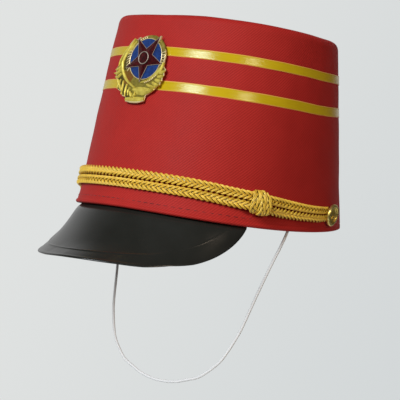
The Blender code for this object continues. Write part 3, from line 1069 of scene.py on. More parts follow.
@dataclass(frozen=True)
class Trim:
    """Heights on the crown that the cloth and the trim share."""

    ribbon_width: float = 0.0070
    ribbon_thickness: float = 0.0007
    upper_ribbon: float = 0.1088
    lower_ribbon: float = 0.0850
    badge_rise: float = 0.0050

    @property
    def badge(self) -> float:
        """Height of the middle of the badge's star."""
        return (self.upper_ribbon + self.lower_ribbon) / 2 + self.badge_rise


@dataclass(frozen=True)
class Crown:
    """The cloth wall with its turned hem, rounded shoulder and back seam, and the top panel."""

    form: CrownForm
    trim: Trim
    finishes: Finishes
    columns: int = 360
    beside_seam: Numbers = (0.15, 0.35, 0.60)
    board_rows: int = 14
    hem_rows: int = 11
    wall_rows: int = 92
    hem_turn: float = 0.0120
    hem_cloth: float = 0.0007
    hem_bulge: float = 0.0006
    hem_bottom: float = 0.0019
    hem_flare: float = 0.0010
    hem_flare_height: float = 0.0100
    hem_flare_degrees: Pair = (62.0, 25.0)
    neck_heights: Numbers = (0.0026, 0.0031, 0.0037, 0.0044)
    neck_insets: Numbers = (-0.0004, 0.0, 0.00025, 0.0)
    board_start: float = 0.0040
    hem_step: float = 0.0006
    hem_overlap: float = 0.0002
    lip_drops: Numbers = (0.0006, 0.0012, 0.0023)
    lip_insets: Numbers = (0.7, 0.95, 1.0)
    wall_start: float = 0.0056
    shoulder_squareness: float = 2.6
    upper_swell: float = 0.00015
    lower_swell: float = 0.00020
    lower_swell_start: float = 0.030
    top_drawn_in: float = 0.0006
    ribbon_groove: float = 0.00022
    upright_wave: float = 0.00010
    upright_waves: Pairs = ((7, 1.1), (11, 2.4), (17, 0.6), (29, 4.0))
    slanted_wave: float = 0.00016
    slanted_waves: Pairs = ((1, 0.3), (2.3, 1.9), (3.7, 5.2))
    seam_groove: float = 0.0007
    seam_width: float = 0.0009
    seam_ridge: float = 0.0002
    seam_ridge_place: float = 0.0022
    seam_ridge_width: float = 0.0012
    top_columns: int = 240
    top_rows: int = 30
    top_under: Numbers = (0.03, 0.4, 0.8, 0.99)
    top_edge: Numbers = (1.0, 1.0, 0.996, 0.988, 0.975)
    top_edge_drops: Numbers = (0.0020, 0.0010, 0.0004, 0.0001, 0.0)
    top_flat_start: float = 0.955
    top_dome: float = 0.0015
    top_drop: float = 0.0005
    top_unevenness: float = 0.0002
    top_waves: Pairs = ((2, 0.5), (3, 2.0))
    pucker: float = 0.00014
    pucker_width: float = 0.03
    puckers: Pairs = ((58, 0.0), (77, 1.3), (43, 2.2))
    stitch: float = 0.0030
    stitch_pitch: float = 0.0046
    stitch_height: float = 0.0058
    stitch_span: float = math.radians(61.0)
    stitch_arch: float = 0.00022
    stitch_sink: float = 0.00012
    stitch_halves: Pair = (0.00016, 0.00020)

    def angles(self) -> np.ndarray:
        """Angles of the wall's columns, once round from the back seam, closer beside it."""
        even = np.linspace(0.0, 360.0, self.columns, endpoint=False)
        close = np.array(self.beside_seam)
        return np.radians(90.0 + np.sort(np.concatenate([even, close, 360.0 - close])))

    def profile(self) -> tuple[np.ndarray, np.ndarray, np.ndarray, np.ndarray]:
        """The wall's section, from its inner top down to the hem and up outside to the ledge.

        The shoulders are a quarter circle inside and a quarter superellipse outside, and the hem
        is a half circle.

        Returns:
            Height, inset, share of the cloth's unevenness and material slot of each row.
        """
        form, top = self.form, self.form.height
        start, wall, shoulder = top - form.shoulder, form.wall, form.shoulder
        turn = np.radians(np.linspace(90.0, 0.0, 8))
        inner_radius = shoulder - wall
        board_end = self.hem_turn + self.hem_step
        board = np.linspace(start - self.board_start, board_end, self.board_rows)
        inner = [
            ([top - wall], [shoulder + form.ledge]),
            (start + inner_radius * np.sin(turn), shoulder - inner_radius * np.cos(turn)),
            (board, np.full_like(board, wall)),
        ]
        inside = wall + self.hem_cloth
        radius = (inside + self.hem_bulge) / 2
        round_hem = np.radians(np.linspace(0.0, 180.0, self.hem_rows))
        turned = np.linspace(self.hem_turn, self.hem_bottom + self.hem_overlap, 6)
        hem = [
            (turned, np.full_like(turned, inside)),
            (
                self.hem_bottom - radius * np.sin(round_hem),
                inside - radius * (1 - np.cos(round_hem)),
            ),
        ]
        neck = [(self.neck_heights, self.neck_insets)]
        turn = np.radians(np.linspace(0.0, 90.0, 16))[1:]
        power = 2 / self.shoulder_squareness
        rise = (shoulder - self.top_drop) * np.sin(turn) ** power
        outer = [
            (np.linspace(self.wall_start, start, self.wall_rows), np.zeros(self.wall_rows)),
            (start + rise, shoulder * (1 - np.cos(turn) ** power)),
            (top - np.array(self.lip_drops), shoulder + form.ledge * np.array(self.lip_insets)),
        ]
        parts = (inner, hem, neck, outer)
        groups = [np.hstack([np.array(pair) for pair in part]) for part in parts]
        heights, insets = zip(*groups)
        eased = [np.full(len(part), float(number > 1)) for number, part in enumerate(heights)]
        eased[1][-self.hem_rows :] = smooth(np.linspace(0.0, 1.0, self.hem_rows))
        eased[3] = np.where(insets[3] > 0, np.clip(1 - insets[3] / shoulder, 0.0, 1.0), 1.0)
        slots = [np.full(len(part), int(number == 0)) for number, part in enumerate(heights)]
        return tuple(np.concatenate(part) for part in (heights, insets, eased, slots))

    def ease(self, angle: Number, height: Number) -> np.ndarray:
        """How far the cloth stands off the form.

        It swells a little between the ribbons, is drawn in under them and towards the top,
        flares at the hem, dips at the back seam between two ridges, and has faint uneven waves.

        Args:
            angle: Angle round the crown.
            height: Height up its wall.

        Returns:
            The distance, positive outwards.
        """
        angle, height = np.broadcast_arrays(angle, height)
        half = self.trim.ribbon_width / 2
        low, high = self.trim.lower_ribbon, self.trim.upper_ribbon
        shoulder = self.form.height - self.form.shoulder
        between = swell(height, low + half, high - half)
        upright = ripple(angle, self.upright_waves)
        slanted = ripple(angle * 5 + height * 70, self.slanted_waves)
        out = self.upper_swell * between * (1 + upright)
        out += self.lower_swell * swell(height, self.lower_swell_start, low - half)
        out -= self.top_drawn_in * smooth((height - high) / (shoulder - high))
        for middle in (low, high):
            out -= self.ribbon_groove * smooth(1.6 - 1.6 * np.abs(height - middle) / half)
        start, width = self.hem_flare_degrees
        behind = smooth((np.abs(np.degrees(self.form.from_front(angle))) - start) / width)
        out += self.hem_flare * (1 - behind) * smooth(1 - height / self.hem_flare_height)
        out += self.slanted_wave * slanted + self.upright_wave * upright
        across = self.form.from_front(angle + math.pi) * self.form.base_half_depth
        out -= self.seam_groove * hill(across, 0.0, self.seam_width)
        place, width = self.seam_ridge_place, self.seam_ridge_width
        return out + self.seam_ridge * (hill(across, place, width) + hill(across, -place, width))

    def wall(self) -> None:
        """The cloth wall, one closed shell: cloth outside and round the hem, board inside."""
        height, inset, eased, slots = self.profile()
        angle = self.angles()[None, :]
        rows = height[:, None]
        lip = np.where(inset < 0, inset, 0.0)[:, None] * self.form.at_sides(angle)
        out = self.ease(angle, rows) * eased[:, None] - inset[:, None] + lip
        points = self.form.point(angle, rows, out)
        u = np.append(angle[0], angle[0, 0] + 2 * math.pi) / (2 * math.pi) * self.form.perimeter
        section = np.stack([height, inset], axis=-1)
        v = run_along(np.vstack([section, section[:1]]))
        patch = grid_patch(points, u[None, :], v[:, None], True, True)
        patch = replace(patch, slots=np.repeat(slots, angle.shape[1]))
        piece = make_piece("crown_cloth", patch, [self.finishes.twill, self.finishes.board], 55.0)
        enter(piece, Slot.TWILL, "crown_side")

    def top(self) -> None:
        """The top panel: a low dome, puckered where it is sewn in, with its rim turned down.

        At a share s of the way to the rim it rises by dome * (1 - s^2), less the drop of its
        turned rim and of its underside, with puckers on a hill near the rim.
        """
        form = self.form
        angle = once_round(self.top_columns)
        inset = form.shoulder + form.ledge + GAP
        rim = form.point(angle, form.height, -inset) - self.top_drop * UP
        centre = rim.mean(axis=0)
        flat = np.linspace(self.top_flat_start, 0.06, self.top_rows)
        share = np.concatenate([self.top_under, self.top_edge, flat])[:, None]
        under = np.full(len(self.top_under), form.wall)
        drop = np.concatenate([under, self.top_edge_drops, np.zeros(self.top_rows)])
        rise = self.top_dome * (1 - share**2) - drop[:, None]
        near_rim = hill(share, self.top_flat_start, self.pucker_width) * (share > 0.5)
        rise = rise + self.pucker * near_rim * ripple(angle, self.puckers)
        uneven = ripple(angle, self.top_waves) * smooth(share) * (1 - share)
        points = centre + (rim - centre) * share[..., None]
        points[..., 2] += rise + self.top_unevenness * uneven
        places = np.concatenate([points, points[:, :1]], axis=1)
        patch = grid_patch(points, places[..., 0], places[..., 1], True, False, True)
        piece = make_piece("top_panel", patch, [self.finishes.twill], 60.0)
        enter(piece, Slot.TWILL, "crown_top")

    def stitches(self) -> None:
        """The line of stitches just above the peak, which sews it in. Each is a short tube whose
        middle line is a low parabola."""
        count = int(2 * self.stitch_span / self.form.turn_for(self.stitch_pitch, FRONT))
        angle = FRONT + np.linspace(-self.stitch_span, self.stitch_span, count)
        height = np.full(count, self.stitch_height)
        run = np.linspace(-1.0, 1.0, 7)
        arch = self.stitch_arch * (1 - run**2) - self.stitch_sink
        path = np.stack([run * self.stitch / 2, np.zeros(7), arch], axis=-1)
        template = tube_patch(path, UP, *self.stitch_halves, 6)
        places = self.form.point(angle, height, self.ease(angle, height))
        patch = repeated(template, places, np.stack(self.form.axes(angle, height), axis=1))
        enter(make_piece("peak_stitches", patch, [self.finishes.red_thread]), Slot.TWILL)

    def build(self) -> None:
        """Makes the wall, the top panel and the stitches."""
        self.wall()
        self.top()
        self.stitches()


@dataclass(frozen=True)
class Ribbons:
    """Two satin bands round the crown, with woven edges and a lapped joint at the back."""

    form: CrownForm
    trim: Trim
    finishes: Finishes
    columns: int = 420
    lap_columns: int = 24
    standoff: float = -0.00005
    thickness: float = 0.00028
    widths: Pair = (0.0063, 0.0068)
    upper_drop: float = 0.0002
    phases: Pair = (0.4, 2.9)
    edge_rise: float = 0.00010
    edge_place: float = 0.00045
    edge_width: float = 0.0003
    edge_round: float = 0.00006
    wander: float = 0.00012
    tilt: float = 0.00008
    lap_half_angle: float = math.radians(3.2)

    def section(self, width: float) -> tuple[np.ndarray, np.ndarray]:
        """The band's section, up its outside and down its inside.

        The outside is the thickness and a hill at each edge, times the root of 1 - t^14 of the
        share t from the middle to the edge.

        Args:
            width: The band's width.

        Returns:
            Height over its middle and distance out of each row.
        """
        half = width / 2
        across = np.linspace(-1.0, 1.0, 21) * half
        edge = hill(np.abs(across), half - self.edge_place, self.edge_width)
        share = np.abs(across) / (half + self.edge_round)
        rounding = np.sqrt(np.clip(1 - share**14, 0.0, 1.0))
        outside = (self.thickness + self.edge_rise * edge) * rounding
        inside = np.array([half * 0.96, 0.0, -half * 0.96])
        return np.concatenate([across, inside]), np.concatenate([outside, np.zeros(3)])

    def band(
        self, angle: np.ndarray, middle: float, width: float, out: float, phase: float
    ) -> Patch:
        """A length of ribbon, which goes all the way round where it has the full columns.

        Args:
            angle: Angles of its columns.
            middle: Height of its middle.
            width: Its width.
            out: Distance of its back from the crown.
            phase: Sets its slight wander.

        Returns:
            The patch. Its map has the length along it and the height over its middle, as if it
            had the full width.
        """
        whole = len(angle) == self.columns
        across, away = self.section(width)
        wander = self.wander * ripple(angle, ((3, phase), (8, phase + 1.0), (19, phase + 2.0)))
        tilt = self.tilt * ripple(angle, ((5, phase), (13, phase + 3.0)))
        height = middle + wander + across[:, None]
        away = out + away[:, None] + tilt * (across[:, None] / self.trim.ribbon_width)
        turns = np.append(angle, angle[0] + 2 * math.pi) if whole else angle
        u = turns / (2 * math.pi) * self.form.perimeter
        v = np.append(across, across[0]) * self.trim.ribbon_width / width
        points = self.form.point(angle, height, away)
        return grid_patch(points, u[None, :], v[:, None], whole, True, not whole)

    def build(self) -> None:
        """Makes both ribbons, each a band all round with a lap over it behind."""
        middles = (self.trim.upper_ribbon - self.upper_drop, self.trim.lower_ribbon)
        angle = BACK + once_round(self.columns)
        lap_angle = BACK + np.linspace(-self.lap_half_angle, self.lap_half_angle, self.lap_columns)
        names = ("upper", "lower")
        for name, middle, width, phase in zip(names, middles, self.widths, self.phases):
            whole = self.band(angle, middle, width, self.standoff, phase)
            lap = self.band(lap_angle, middle, width, self.standoff + self.thickness, phase)
            patch = joined([whole, lap])
            piece = make_piece(f"satin_ribbon_{name}", patch, [self.finishes.satin], 60.0)
            enter(piece, Slot.SATIN, f"ribbon_{name}")


@dataclass(frozen=True)
class Peak:
    """The moulded peak: a flange inside the wall and a blade under the hem, with a rounded rim
    and a raised line that follows it. The rim's lifts and the line's places are millimetres at
    the turns beside them, from -1 at the wearer's right to 1 at the left."""

    form: CrownForm
    finishes: Finishes
    half_angle: float = math.radians(60.6)
    length: float = 0.0626
    end_length: float = 0.0012
    full_length: float = 0.020
    thickness: float = 0.0018
    flange: float = 0.0120
    root_drop: float = 0.0007
    taper: float = 1.61
    fullness: float = 1.47
    forward: float = 0.62
    root_slope: Pair = (math.radians(48.5), math.radians(66.7))
    rim_slope: Pair = (math.radians(18.7), math.radians(89.0))
    columns: int = 221
    rim_rows: Numbers = (0.0, 0.00012, 0.0003, 0.0006, 0.0009, 0.0013, 0.0018, 0.0026)
    rim_thickness: float = 0.0010
    rim_range: float = 0.008
    rim_turns: Numbers = (
        -1.0, -0.75, -0.55, -0.36, -0.18, -0.09, 0.0, 0.18, 0.36, 0.50, 0.62, 0.73, 0.91, 1.0,
    )
    rim_lifts: Numbers = (
        0.0, 0.5, 0.5, 0.2, 0.3, 0.9, 1.55, 1.65, 1.7, 1.15, 1.85, 0.45, 0.15, 0.0,
    )
    rim_lift_range: float = 0.030
    root_fullness: float = 0.0012
    root_reach: float = 0.006
    line_turns: Numbers = (-1.0, -0.8, -0.5, -0.36, -0.18, 0.0, 0.35, 0.50, 0.64, 0.73, 0.80, 0.86)
    line_places: Numbers = (17.6, 15.0, 10.5, 10.3, 11.8, 12.6, 12.6, 13.2, 15.0, 15.9, 16.5, 17.6)
    line_rises: Numbers = (0.34, 0.34, 0.38, 0.40, 0.42, 0.42, 0.30, 0.14, 0.09, 0.08, 0.09, 0.12)
    line_width: float = 0.00070
    line_margin: float = 0.0017
    line_end: float = 0.93
    line_fade: float = 0.06
    bead_rise: float = 0.00015
    bead_place: float = 0.0012
    bead_width: float = 0.0009
    flange_rises: Numbers = (0.15, 0.4, 0.7, 0.93, 1.0)
    flange_to_top: Numbers = (0.85, 0.6, 0.3, 0.07, 0.0)
    map_half_width: float = 0.09

    def outline(self, turn: np.ndarray) -> tuple[np.ndarray, np.ndarray, np.ndarray]:
        """The blade's plan: a superellipse of its length, which leans forwards.

        Args:
            turn: Turn of each column, from -1 to 1.

        Returns:
            The root's points, the level direction ahead at each and the length there.
        """
        angle = FRONT + turn * self.half_angle
        root = self.form.point(angle, -self.root_drop, -self.form.wall - GAP)
        round_it = self.form.point(angle + STEP, 0.0) - self.form.point(angle - STEP, 0.0)
        outward = unit(np.cross(round_it * np.array([1.0, 1.0, 0.0]), UP))
        ahead = unit((1 - self.forward) * outward - self.forward * np.array([0.0, 1.0, 0.0]))
        share = np.clip(1 - np.abs(turn) ** self.taper, 0.0, 1.0) ** (1 / self.fullness)
        return root, ahead, np.maximum(self.length * share, self.end_length)

    def grid(self) -> tuple[np.ndarray, np.ndarray, np.ndarray, np.ndarray]:
        """The outer face, from the rim up to the top of the flange.

        A point a share s from root to rim of a blade of length L has gone forward by
        L s cos(a + b s / 2) sinc(b s / 2) and down by the same with sin, which is the path of a
        slope that runs evenly from a at the root to a + b at the rim. Near the root it stands
        out by t e^(1 - t), where t is the distance from the root over the fullness's reach.

        Returns:
            Points, distance from the rim, where the raised line is, and each column's turn.
        """
        turn = np.linspace(-1.0, 1.0, self.columns)
        root, ahead, length = self.outline(turn)
        opening = np.minimum(1.0, length / self.full_length)
        near = np.array(self.rim_rows)[:, None] * opening
        line_at = np.minimum(np.interp(turn, self.line_turns, self.line_places) * MM, 0.8 * length)
        beside = self.line_margin * opening
        before = mix(near[-1], line_at - beside, np.linspace(0.0, 1.0, 7)[1:-1, None])
        across = line_at + beside * np.linspace(-1.0, 1.0, 15)[:, None]
        inner = mix(line_at + beside, length, np.linspace(0.0, 1.0, 24)[1:, None])
        distance = np.vstack([near, before, across, inner])
        along = 1 - distance / length
        first = mix(*self.root_slope, turn**2)
        change = mix(*self.rim_slope, turn**2) - first
        arc = length * along * np.sinc(change * along / 2 / math.pi)
        slope = first + change * along / 2
        lift = np.interp(turn, self.rim_turns, self.rim_lifts) * MM
        near_root = length * along / self.root_reach
        full = self.root_fullness * near_root * np.exp(1 - near_root) * opening
        blade = root + ahead * (arc * np.cos(slope) + full * np.sin(first))[..., None]
        blade[..., 2] += lift * smooth(1 - distance / self.rim_lift_range)
        blade[..., 2] += full * np.cos(first) - arc * np.sin(slope)
        rise = np.array(self.flange_rises)[:, None] * self.flange
        flange = self.form.point(FRONT + turn * self.half_angle, rise, -self.form.wall - GAP)
        far = np.ones((len(rise), self.columns))
        return np.concatenate([blade, flange]), np.vstack([distance, far]), line_at, turn

    def build(self) -> None:
        """Makes the peak as one closed shell, its face and its underside a thickness apart. Both
        close to a half circle at the rim and at the flange's top."""
        points, distance, line_at, turn = self.grid()
        normal = unit(np.cross(np.gradient(points, axis=1), np.gradient(points, axis=0)))
        half = mix(self.rim_thickness, self.thickness, smooth(distance / self.rim_range)) / 2
        to_top = self.flange * np.array(self.flange_to_top)[:, None]
        blade_rows = len(distance) - len(to_top)
        to_edge = np.vstack([distance[:blade_rows], to_top + np.zeros(self.columns)])
        bevel = np.clip(1 - to_edge / half, 0.0, 1.0)
        swelling = half * np.sqrt(np.clip(1 - bevel**2, 0.0, 1.0))
        rises = np.interp(turn, self.line_turns, self.line_rises) * MM
        line = rises * hill(distance - line_at, 0.0, self.line_width)
        bead = self.bead_rise * hill(distance, self.bead_place, self.bead_width)
        relief = (line + bead) * smooth((self.line_end - np.abs(turn)) / self.line_fade)
        face = points + normal * (swelling - half + relief)[..., None]
        under = points - normal * (swelling + half)[..., None]
        rows = np.concatenate([face, under[-2:0:-1]])
        v = np.linspace(0.0, 0.2, len(rows) + 1)[:, None]
        patch = grid_patch(rows, turn[None, :] * self.map_half_width, v, False, True, True)
        piece = make_piece("moulded_peak", patch, [self.finishes.plastic], 70.0)
        enter(piece, Slot.PLASTIC, "peak")


@dataclass(frozen=True)
class CordRoute:
    """Where the pair of cords runs round the crown, from button to button. Its angles are from
    the front."""

    form: CrownForm
    half_height: float = 0.0032
    half_thickness: float = 0.0019
    front_height: float = 0.0203
    droop_start: float = math.radians(45.0)
    droop_end: float = math.radians(100.0)
    droop_power: float = 1.5
    sag: float = 0.0010
    sag_middle: float = math.radians(46.0)
    sag_width: float = math.radians(9.0)
    narrowing: float = 0.14
    narrow_start: float = math.radians(72.0)
    narrow_range: float = math.radians(25.0)
    end_height_share: float = 0.94
    end_thickness_share: float = 0.55
    end_taper: float = 0.0120
    knot_angle: float = math.radians(64.0)
    knot_length: float = 0.0200
    knot_back_wall: float = 0.0015
    lift_length: float = 0.0220
    button_angle: float = math.radians(107.9)
    button_height: float = 0.0130
    button_radius: float = 0.0080
    shank_radius: float = 0.0020

    def pair_height(self, angle: np.ndarray) -> np.ndarray:
        """Height of the pair's middle: level over the brow, with a slight sag short of each knot,
        and easing down to the buttons.

        Args:
            angle: Angle from the front.

        Returns:
            The height: its droop is 1 - (1 - s)^power of the share s of the drooping stretch.
        """
        stretch = self.droop_end - self.droop_start
        share = np.clip((np.abs(angle) - self.droop_start) / stretch, 0.0, 1.0)
        sag = self.sag * hill(np.abs(angle), self.sag_middle, self.sag_width)
        return mix(self.front_height, self.button_height, 1 - (1 - share) ** self.droop_power) - sag

    def lift(self, angle: np.ndarray) -> np.ndarray:
        """How far the cords stand off the crown to pass through the knots.

        Args:
            angle: Angle from the front.

        Returns:
            The distance: a cosine step up to a flat stretch at each knot.
        """
        reach = self.form.turn_for(self.lift_length, FRONT + self.knot_angle)
        flat = self.form.turn_for(self.knot_length / 2, FRONT + self.knot_angle)
        share = np.clip((np.abs(np.abs(angle) - self.knot_angle) - flat) / (reach - flat), 0.0, 1.0)
        return (self.knot_back_wall + GAP) * 0.5 * (1 + np.cos(math.pi * share))

    def full(self, angle: np.ndarray) -> np.ndarray:
        """1 along the cords, falling to 0 at the rim of the buttons.

        Args:
            angle: Angle from the front.

        Returns:
            The share.
        """
        at_button = FRONT + self.button_angle
        under = self.form.turn_for(self.button_radius, at_button)
        taper = self.form.turn_for(self.end_taper, at_button)
        return smooth((self.button_angle - under - np.abs(angle)) / taper)


@dataclass(frozen=True)
class Cords:
    """The two plaited cords, one over the other. Their strokes lean opposite ways, because one
    cord is doubled back on itself."""

    route: CordRoute
    finishes: Finishes
    plait: Plait = Plait()
    steps: int = 1600

    def build(self) -> None:
        """Makes both cords."""
        route, form = self.route, self.route.form
        shank = form.turn_for(route.shank_radius + 2 * GAP, FRONT + route.button_angle)
        angle = np.linspace(-1.0, 1.0, self.steps) * (route.button_angle - shank)
        full = route.full(angle)
        narrow = smooth((np.abs(angle) - route.narrow_start) / route.narrow_range)
        tall = mix(route.end_height_share, 1.0, full) * (1 - route.narrowing * narrow)
        thick = mix(route.end_thickness_share, 1.0, full)
        out = GAP + route.half_thickness * thick + route.lift(angle)
        steps = np.arange(self.steps)
        for name, side, hand in (("upper", 1, Hand.BACKWARD), ("lower", -1, Hand.FORWARD)):
            height = route.pair_height(angle) + side * (route.half_height * tall + GAP / 2)
            points = form.point(FRONT + angle, height, out)
            track = Track.along(points, form.axes(FRONT + angle, height)[2])
            share = np.linspace(0.0, 1.0, len(track.run)) * (self.steps - 1)
            widths, depths = (np.interp(share, steps, part) for part in (tall, thick))
            patch = self.plait.on(track, hand, widths, depths)
            piece = make_piece(f"plaited_cord_{name}", patch, self.finishes.plaited)
            enter(piece, Slot.BRAID, f"cord_{name}")


@dataclass(frozen=True)
class Knots:
    """The two knots: a plait wound three times round both cords, its turns drawn together above
    and below, with one loop that bulges low at the end nearer the brow."""

    route: CordRoute
    finishes: Finishes
    turns: float = 3.0
    steps: int = 900
    half_height: float = 0.0075
    half_out: float = 0.0040
    half_back: float = 0.0023
    squareness: float = 2.2
    length: float = 0.0142
    belly: float = 0.40
    belly_height: float = 0.55
    belly_depth: float = 0.8
    gather: float = 0.40
    lean: float = -0.0010
    bulge: float = 0.0024
    bulge_turn: float = math.radians(318.0)
    bulge_width: float = 0.6
    shift: float = -0.0014
    plait: Plait = Plait(
        pitch=0.0056, swing=0.0023, depth=0.0006, core_half_across=0.0023, core_half_out=0.0006,
        yarn_spacing=0.00078, yarn_half_across=0.00040, yarn_half_out=0.00050,
    )

    def winding(self, side: Side) -> Track:
        """The line that the plait follows: a slanted helix round the pair, whose section is a
        superellipse that grows towards the knot's middle.

        Args:
            side: The wearer's side that the knot is on.

        Returns:
            The track, its out pointing away from the cords.
        """
        route, form = self.route, self.route.form
        turn = np.linspace(0.0, 2 * math.pi * self.turns, self.steps) + math.pi
        outward, upward = np.cos(turn), np.sin(turn)
        power = self.squareness
        reach = (np.abs(outward) ** power + np.abs(upward) ** power) ** (-1 / power)
        progress = (turn - turn[0]) / (turn[-1] - turn[0]) - 0.5
        belly = 1 - self.belly * (2 * progress) ** 2
        front = self.half_out * mix(1.0, belly, self.belly_depth)
        depth = np.where(outward > 0, front, self.half_back)
        along = progress * self.length * (1 - self.gather * upward**2) + self.lean * upward
        along += self.shift - self.bulge * hill(turn, self.bulge_turn, self.bulge_width)
        turned = form.turn_for(1.0, FRONT + route.knot_angle) * along
        angle = side.value * (route.knot_angle + turned)
        up = self.half_height * upward * reach * mix(1.0, belly, self.belly_height)
        height = route.pair_height(angle) + up
        centre_out = GAP + route.half_thickness + route.knot_back_wall + GAP
        points = form.point(FRONT + angle, height, centre_out + depth * outward * reach)
        _, up_it, out_of_it = form.axes(FRONT + angle, height)
        facing = up_it * (upward * reach / self.half_height)[:, None]
        facing += out_of_it * (outward * reach / np.maximum(depth, 0.002))[:, None]
        return Track.along(points, unit(facing))

    def build(self) -> None:
        """Makes both knots."""
        for side in Side:
            patch = self.plait.on(self.winding(side), Hand.BACKWARD)
            word = side.name.lower()
            piece = make_piece(f"wound_knot_{word}", patch, self.finishes.plaited)
            enter(piece, Slot.BRAID, f"knot_{word}")


@dataclass(frozen=True)
class Buttons:
    """The two turned buttons: a rolled rim round a shallow dish, on a shank."""

    route: CordRoute
    finishes: Finishes
    rim: float = 0.0012
    plate: float = 0.0015
    edge: float = 0.0005
    dish_depth: float = 0.0012
    dish_dome: float = 0.0003
    tilt: float = math.radians(12.0)
    around: int = 72

    def profile(self) -> tuple[np.ndarray, np.ndarray]:
        """The section from the foot of the shank, out and over the rim, to the dish's middle.

        The rim is a half circle. At a share s of its radius the dish lies deeper than the rim by
        depth * (1 - s^7), less its dome * (1 - s^2).

        Returns:
            Radius and height of each row.
        """
        route = self.route
        back = 2 * route.half_thickness * route.end_thickness_share + 2 * GAP
        face = back + self.plate
        turn = np.radians(np.linspace(0.0, 180.0, 15))
        middle = route.button_radius - self.rim
        dish = np.linspace(middle - self.rim * 1.05, 0.0003, 18)
        share = dish / dish[0]
        foot = [0.0004, route.shank_radius, route.shank_radius, route.button_radius - self.edge]
        rim = middle + self.rim * np.cos(turn)
        radius = np.concatenate([foot, [route.button_radius], rim, dish])
        floor = face - self.dish_depth * (1 - share**7) + self.dish_dome * (1 - share**2)
        lip = face + self.rim * np.sin(turn)
        return radius, np.concatenate([[GAP, GAP, back, back, back + self.edge], lip, floor])

    def build(self) -> None:
        """Makes both buttons."""
        radius, height = self.profile()
        patch = turned_patch(radius[:, None], height[:, None], once_round(self.around))
        for side in Side:
            where = FRONT + side.value * self.route.button_angle, self.route.button_height
            round_it, up_it, out_of_it = self.route.form.axes(*where)
            turned = math.cos(self.tilt) * out_of_it - math.sin(self.tilt) * up_it
            axes = np.stack([round_it, np.cross(turned, round_it), turned])
            seated = patch.moved(self.route.form.point(*where), axes)
            word = side.name.lower()
            piece = make_piece(f"rimmed_button_{word}", seated, [self.finishes.brass], 50.0)
            enter(piece, Slot.BRASS, f"button_{word}")


def smooth_line(corners: np.ndarray, spacing: float) -> np.ndarray:
    """Points a spacing apart on the smooth curve through a route's points.

    Each stretch is the cubic whose slope at a point is half the way between its neighbours.

    Args:
        corners: The route, n x 3.
        spacing: Distance between the new points.

    Returns:
        The points.
    """
    ends = np.vstack([2 * corners[0] - corners[1], corners, 2 * corners[-1] - corners[-2]])[:, None]
    before, start, end, after = ends[:-3], ends[1:-2], ends[2:-1], ends[3:]
    share = np.linspace(0.0, 1.0, 24, endpoint=False)[None, :, None]
    bend = 2 * before - 5 * start + 4 * end - after
    twist = -before + 3 * start - 3 * end + after
    fine = 0.5 * (2 * start + (end - before) * share + bend * share**2 + twist * share**3)
    fine = np.vstack([fine.reshape(-1, 3), corners[-1:]])
    run = run_along(fine)
    even = np.linspace(0.0, run[-1], int(round(run[-1] / spacing)) + 1)
    return Track.blend(even, run, fine)


@dataclass(frozen=True)
class Frond:
    """A leaf or band of the badge, in relief: its middle line and its widths at even steps, in
    millimetres, and the heights of its edges over the plate and of its middle over its edges."""

    route: Pairs
    widths: Numbers
    level: float = 0.0003
    crown: float = 0.0007
    tone: Tone = Tone.GOLD


@dataclass(frozen=True)
class Wire:
    """A wire of the badge's ring: how far out and up it lies from the ring's foot, its radius,
    and the arc that it covers, in degrees."""

    out: float
    half: float
    rise: float = 0.0
    start: float = 0.0
    end: float = 360.0
    tone: Tone = Tone.PALE


@dataclass(frozen=True)
class Teeth:
    """Teeth or beads at even steps along an arc of the badge's ring, in degrees, placed as a
    wire is. Each is turned from the radius by the lean."""

    start: float
    end: float
    step: float
    lean: float
    length: float
    out: float
    width: float = 0.00095
    rise: float = 0.0


